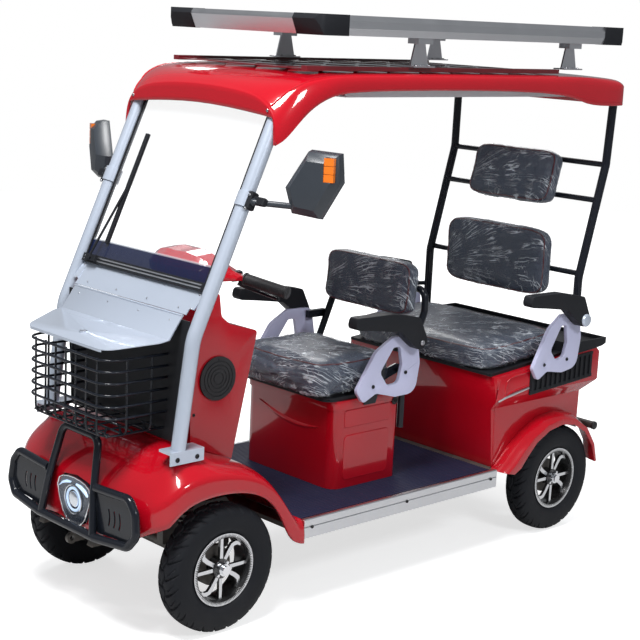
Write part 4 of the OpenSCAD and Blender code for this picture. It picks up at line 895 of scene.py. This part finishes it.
def fit_screen_rail():
    trims = Shape()
    for y, z in ((-52.2, 1037), (-48.1, 1046.2)):
        trims.tube([at(-296, y, z), at(296, y, z)], 0.0024, 10)
    trims.done("rail_trims", "frame", "aluminium", ALUMINIUM)
    bracket = Shape()
    lean = Matrix.Rotation(math.radians(-24), 3, "X")
    for side in (1, -1):
        bracket.block(at(side * 356, 74, 1290), (11, 15, 27), lean, 0, 0.3)
        bracket.block(at(side * 384, 82, 1291), (26, 9, 12), lean, 0, 0.3)
        for z in (1271, 1309):
            bracket.bolt(at(side * 358, 74 + (z - 1290) * 0.44 - 14, z), (0, -1, 0), 4.5, 4, 1)
    bracket.done("mirror_brackets", "frame", "black_plastic", BLACK_PLASTIC, BOLT)


def fit_headlamp():
    parts = Shape()
    centre = at(0, -277.5, LAMP_Z)
    parts.turned(centre, (0, -1, 0), [(0, 26), (3, 25), (5, 20), (6.5, 12), (7, 0.1)], 32, 0)
    parts.turned(centre, (0, -1, 0), [(0, 46), (3.5, 46), (4.5, 44), (3.5, 42), (0, 42)], 40, 1)
    for side in (1, -1):
        brow = [at(side * x, -279, z) for x, z in ((14, 416), (36, 413), (58, 405), (74, 392))]
        parts.tube(brow, [0.003, 0.0055, 0.0055, 0.003], 10, 2, flat=0.5)
    parts.done("lamp_inside", "frame", "lamp_clear", MIRROR, CHROME, LED)
    outline = [(0, 277), (30, 288), (56, 316), (74, 352), (87, 392), (78, 414), (58, 425), (30, 430), (0, 432)]
    outline += [(-x, z) for x, z in outline[-2:0:-1]]
    rows = []
    for y, scale in ((-276.2, 1.0), (-281, 0.985), (-286, 0.9), (-289.5, 0.7), (-291, 0.35)):
        rows.append([at(x * scale, y, 360 + (z - 360) * scale) for x, z in outline])
    cover = Shape()
    cover.rings(rows, caps=False)
    cover.faces.append([len(cover.verts) - len(outline) + j for j in range(len(outline))])
    cover.kinds.append(0)
    cover.done("lamp_cover", "frame", "clear_glass", LENS, smooth=60)
    rim = Shape()
    rim.tube([at(x * 1.01, -276.5, 360 + (z - 360) * 1.01) for x, z in outline], 0.0022, 8, closed=True)
    rim.done("lamp_rim", "frame", "black_plastic", CHROME)


def fit_handlebar():
    grips = Shape()
    for side in (1, -1):
        start, end = at(side * 181.5, 210, 1023.8), at(side * 330, 255, 1000)
        along = (end - start).normalized()
        length = (end - start).length * 1000
        ribs = 22
        w = (length - 14) / ribs
        profile = [(-1, 12), (0, 20), (5, 20), (6, 17)]
        for k in range(ribs):
            a = 6 + (length - 14) * k / ribs
            profile += [(a, 16.8), (a + w * 0.2, 18), (a + w * 0.7, 18), (a + w * 0.9, 16.8)]
        profile += [(length - 7, 19.5), (length - 2, 19.5), (length, 15)]
        grips.turned(start, along, profile, 20)
    grips.done("grips", "steering", "black_plastic", GRIP, smooth=50)
    parts = Shape()
    for side in (1, -1):
        lean = Matrix.Rotation(math.radians(-16 * side), 3, "Y")
        lean = lean @ Matrix.Rotation(math.radians(18 * side), 3, "Z")
        parts.block(at(side * 150, 200, 1029), (17, 20, 17), lean, 0, 0.35)
        parts.block(at(side * 150, 217, 1040), (4, 4, 4), lean, 1, 0.4)
        parts.block(at(side * 143, 219, 1030), (6, 3, 4), lean, 2, 0.4)
        parts.tube([at(side * 152, 208, 1006), at(side * 168, 235, 992), at(side * 200, 258, 982),
                    at(side * 262, 272, 972), at(side * 270, 272, 970)],
                   [0.008, 0.0075, 0.0065, 0.0055, 0.0075], 12, 0, flat=0.6)
    parts.done("switch_pods", "steering", "black_plastic", BLACK_PLASTIC, TAIL_RED, LED)
    screen = Shape()
    tilt = Matrix.Rotation(math.radians(-38), 3, "X")
    screen.block(at(0, 176, 1081), (52, 30, 3.5), tilt, 0, 0.5)
    screen.block(at(0, 177, 1083.8), (44, 23, 2.2), tilt, 1, 0.3)
    screen.done("dash_screen", "steering", "black_plastic", BLACK_PLASTIC, LAMP_DARK)


def raised_panel(shape, side, y0, y1, z0, z1, corner):
    """Low moulded relief with round corners on a side of the front seat box."""
    rows = []
    for out, inset in ((-1, 0), (1.6, 0), (3, 1.6)):
        row = []
        for k in range(32):
            t = 2 * math.pi * (k + 0.5) / 32
            y, z = ((high - corner if push > 0 else low + corner) + (corner - inset) * push
                    for low, high, push in ((y0, y1, math.cos(t)), (z0, z1, math.sin(t))))
            row.append(at(side * (SEAT_BOX_SIDE + out), y, z))
        rows.append(row[::side])
    shape.rings(rows)


def fit_seat_box():
    lock = Shape()
    profile = [(0, 11.6), (9, 11.6), (9.2, 14), (12, 14), (13, 12), (13, 7), (11, 6.5), (11, 0.1)]
    lock.turned(at(SEAT_BOX_SIDE - 7, 850, 560), (1, 0, 0), profile, 28)
    lock.block(at(SEAT_BOX_SIDE + 5, 850, 560), (1, 1.4, 5))
    lock.done("seat_box_lock", "frame", "black_plastic", DARK_BOLT)
    swoosh = Shape()
    rows = []
    for t in (k / 24 for k in range(25)):
        wide = 9 * math.sin(math.pi * t) ** 0.7 + 0.6
        x = -150 + 300 * t
        z = 520 - 34 * math.sin(t * 2.6) - 12 * t
        rows.append([at(x, 576.3, z + wide), at(x, 572.8, z + wide * 0.4), at(x, 572.8, z - wide * 0.4),
                     at(x, 576.3, z - wide)])
    swoosh.rings(rows)
    for side in (1, -1):
        raised_panel(swoosh, side, 621, 831, 497, 556, 10)
        raised_panel(swoosh, side, 623, 829, 318, 470, 16)
    swoosh.done("seat_box_swoosh", "frame", "body_red", RED)


def fit_rear_box():
    trim = Shape()
    for side in (1, -1):
        path = [at(side * x, y, z) for x, y, z in ((369, 1222, 531), (376, 1258, 544), (377.5, 1310, 552.5),
                                                   (377.5, 1374, 562))]
        trim.tube(path, [0.005, 0.0062, 0.0062, 0.005], 12, flat=0.75)
    trim.done("side_bars", "frame", "aluminium", ALUMINIUM)
    band = Shape()
    for radius, sides, path in (
            (0.0034, 10, ((375.2, 1252, 548), (375.2, 1251, 575), (375.2, 1256, 598), (375.2, 1270, 611),
                          (375.2, 1292, 616), (375.2, 1330, 619), (375.2, 1376, 623))),
            (0.0026, 10, ((375.2, 1252, 548), (375.2, 1290, 560), (375.2, 1330, 566), (375.2, 1372, 571))),
            (0.0022, 8, ((345.2, 1243, 300), (345.2, 1238, 420), (345.2, 1236, 500), (374, 1240, 540)))):
        for side in (1, -1):
            band.tube([at(side * x, y, z) for x, y, z in path], radius, sides)
    band.done("side_borders", "frame", "body_red", RED)
    caps = Shape()
    for side in (1, -1):
        caps.turned(at(side * 370, 1785, 360), (side, 0, 0), [(0, 15.5), (8, 15.5), (11, 12), (11.5, 0.1)], 24)
    caps.done("guard_caps", "frame", "black_plastic", GRIP)


def fit_roof():
    shell = bpy.data.objects["roof_soft"].data
    surface = BVHTree.FromPolygons([v.co for v in shell.vertices], [face.vertices for face in shell.polygons])
    crease = Shape()
    path = ((338, 152, 1560), (350, 182, 1592), (368, 248, 1632), (380, 332, 1648), (383, 442, 1655),
            (383, 900, 1655), (383, 1455, 1655))
    for side in (1, -1):
        spots = []
        for a, b in zip(path, path[1:]):
            for k in range(8):
                x, y, z = (start + (end - start) * k / 8 for start, end in zip(a, b))
                spot, normal, _, _ = surface.find_nearest(at(side * x, y, z))
                spots.append(spot - normal * 0.0006)
        crease.tube(spots, 0.003, 8)
    crease.done("roof_crease", "frame", "body_red", RED)


for fit in (fit_body_bolts, fit_pivot_caps, fit_lid, fit_basket, fit_screen_rail, fit_headlamp, fit_handlebar,
            fit_seat_box, fit_rear_box, fit_roof):
    fit()


# Floor, light and surroundings
def seen_directly(tree):
    """1 for rays straight from the camera or through glass, otherwise 0."""
    path = node(tree, "LightPath").outputs
    return reckon(tree, "MAXIMUM", path["Is Camera Ray"], path["Is Transmission Ray"])


def pale_world():
    world = bpy.data.worlds.new("pale surroundings")
    scene.world = world
    world.use_nodes = True
    tree = world.node_tree
    tree.nodes.clear()
    soft = node(tree, "Background", [("Color", (0.92, 0.95, 1.0, 1)), ("Strength", 0.26)])
    white = node(tree, "Background", [("Color", (1, 1, 1, 1)), ("Strength", 1.0)])
    mix = node(tree, "MixShader", [(0, seen_directly(tree)), (1, soft.outputs[0]), (2, white.outputs[0])])
    node(tree, "OutputWorld", [(0, mix.outputs[0])])


def pale_floor():
    mesh = bpy.data.meshes.new("floor")
    mesh.from_pydata([(-9, -9, 0), (9, -9, 0), (9, 9, 0), (-9, 9, 0)], [], [(0, 1, 2, 3)])
    floor = bpy.data.objects.new("floor", mesh)
    scene.collection.objects.link(floor)
    material, tree, shader = new_material("pale floor")
    lift = ramp(tree, reckon_vector(tree, "LENGTH", own_place(tree))["Value"], 1.0, 2.6, 0.68, 1.1)
    glow = reckon(tree, "MULTIPLY", lift, seen_directly(tree))
    fill(tree, shader, [("Base Color", (0.6, 0.6, 0.6, 1)), ("Roughness", 0.9),
                        ("Emission Color", (1, 1, 1, 1)), ("Emission Strength", glow)])
    mesh.materials.append(material)


def soft_lamp(name, place, aim, size, power, colour=(1, 1, 1)):
    data = bpy.data.lights.new(name, "AREA")
    data.shape = "RECTANGLE"
    data.size, data.size_y = size
    data.energy = power
    data.color = colour
    lamp = bpy.data.objects.new(name, data)
    lamp.location = place
    lamp.rotation_euler = (Vector(aim) - Vector(place)).to_track_quat("-Z", "Y").to_euler()
    scene.collection.objects.link(lamp)


pale_world()
pale_floor()
soft_lamp("key", (0.9, -2.4, 5.2), (0, 0, 0.7), (1.6, 1.6), 330)
soft_lamp("side", (5.2, -0.6, 4.2), (0, 0, 0.7), (1.4, 1.0), 120, (0.96, 0.98, 1))
soft_lamp("back", (-3.2, 2.6, 3.6), (0, 0, 0.9), (2.0, 1.4), 70)
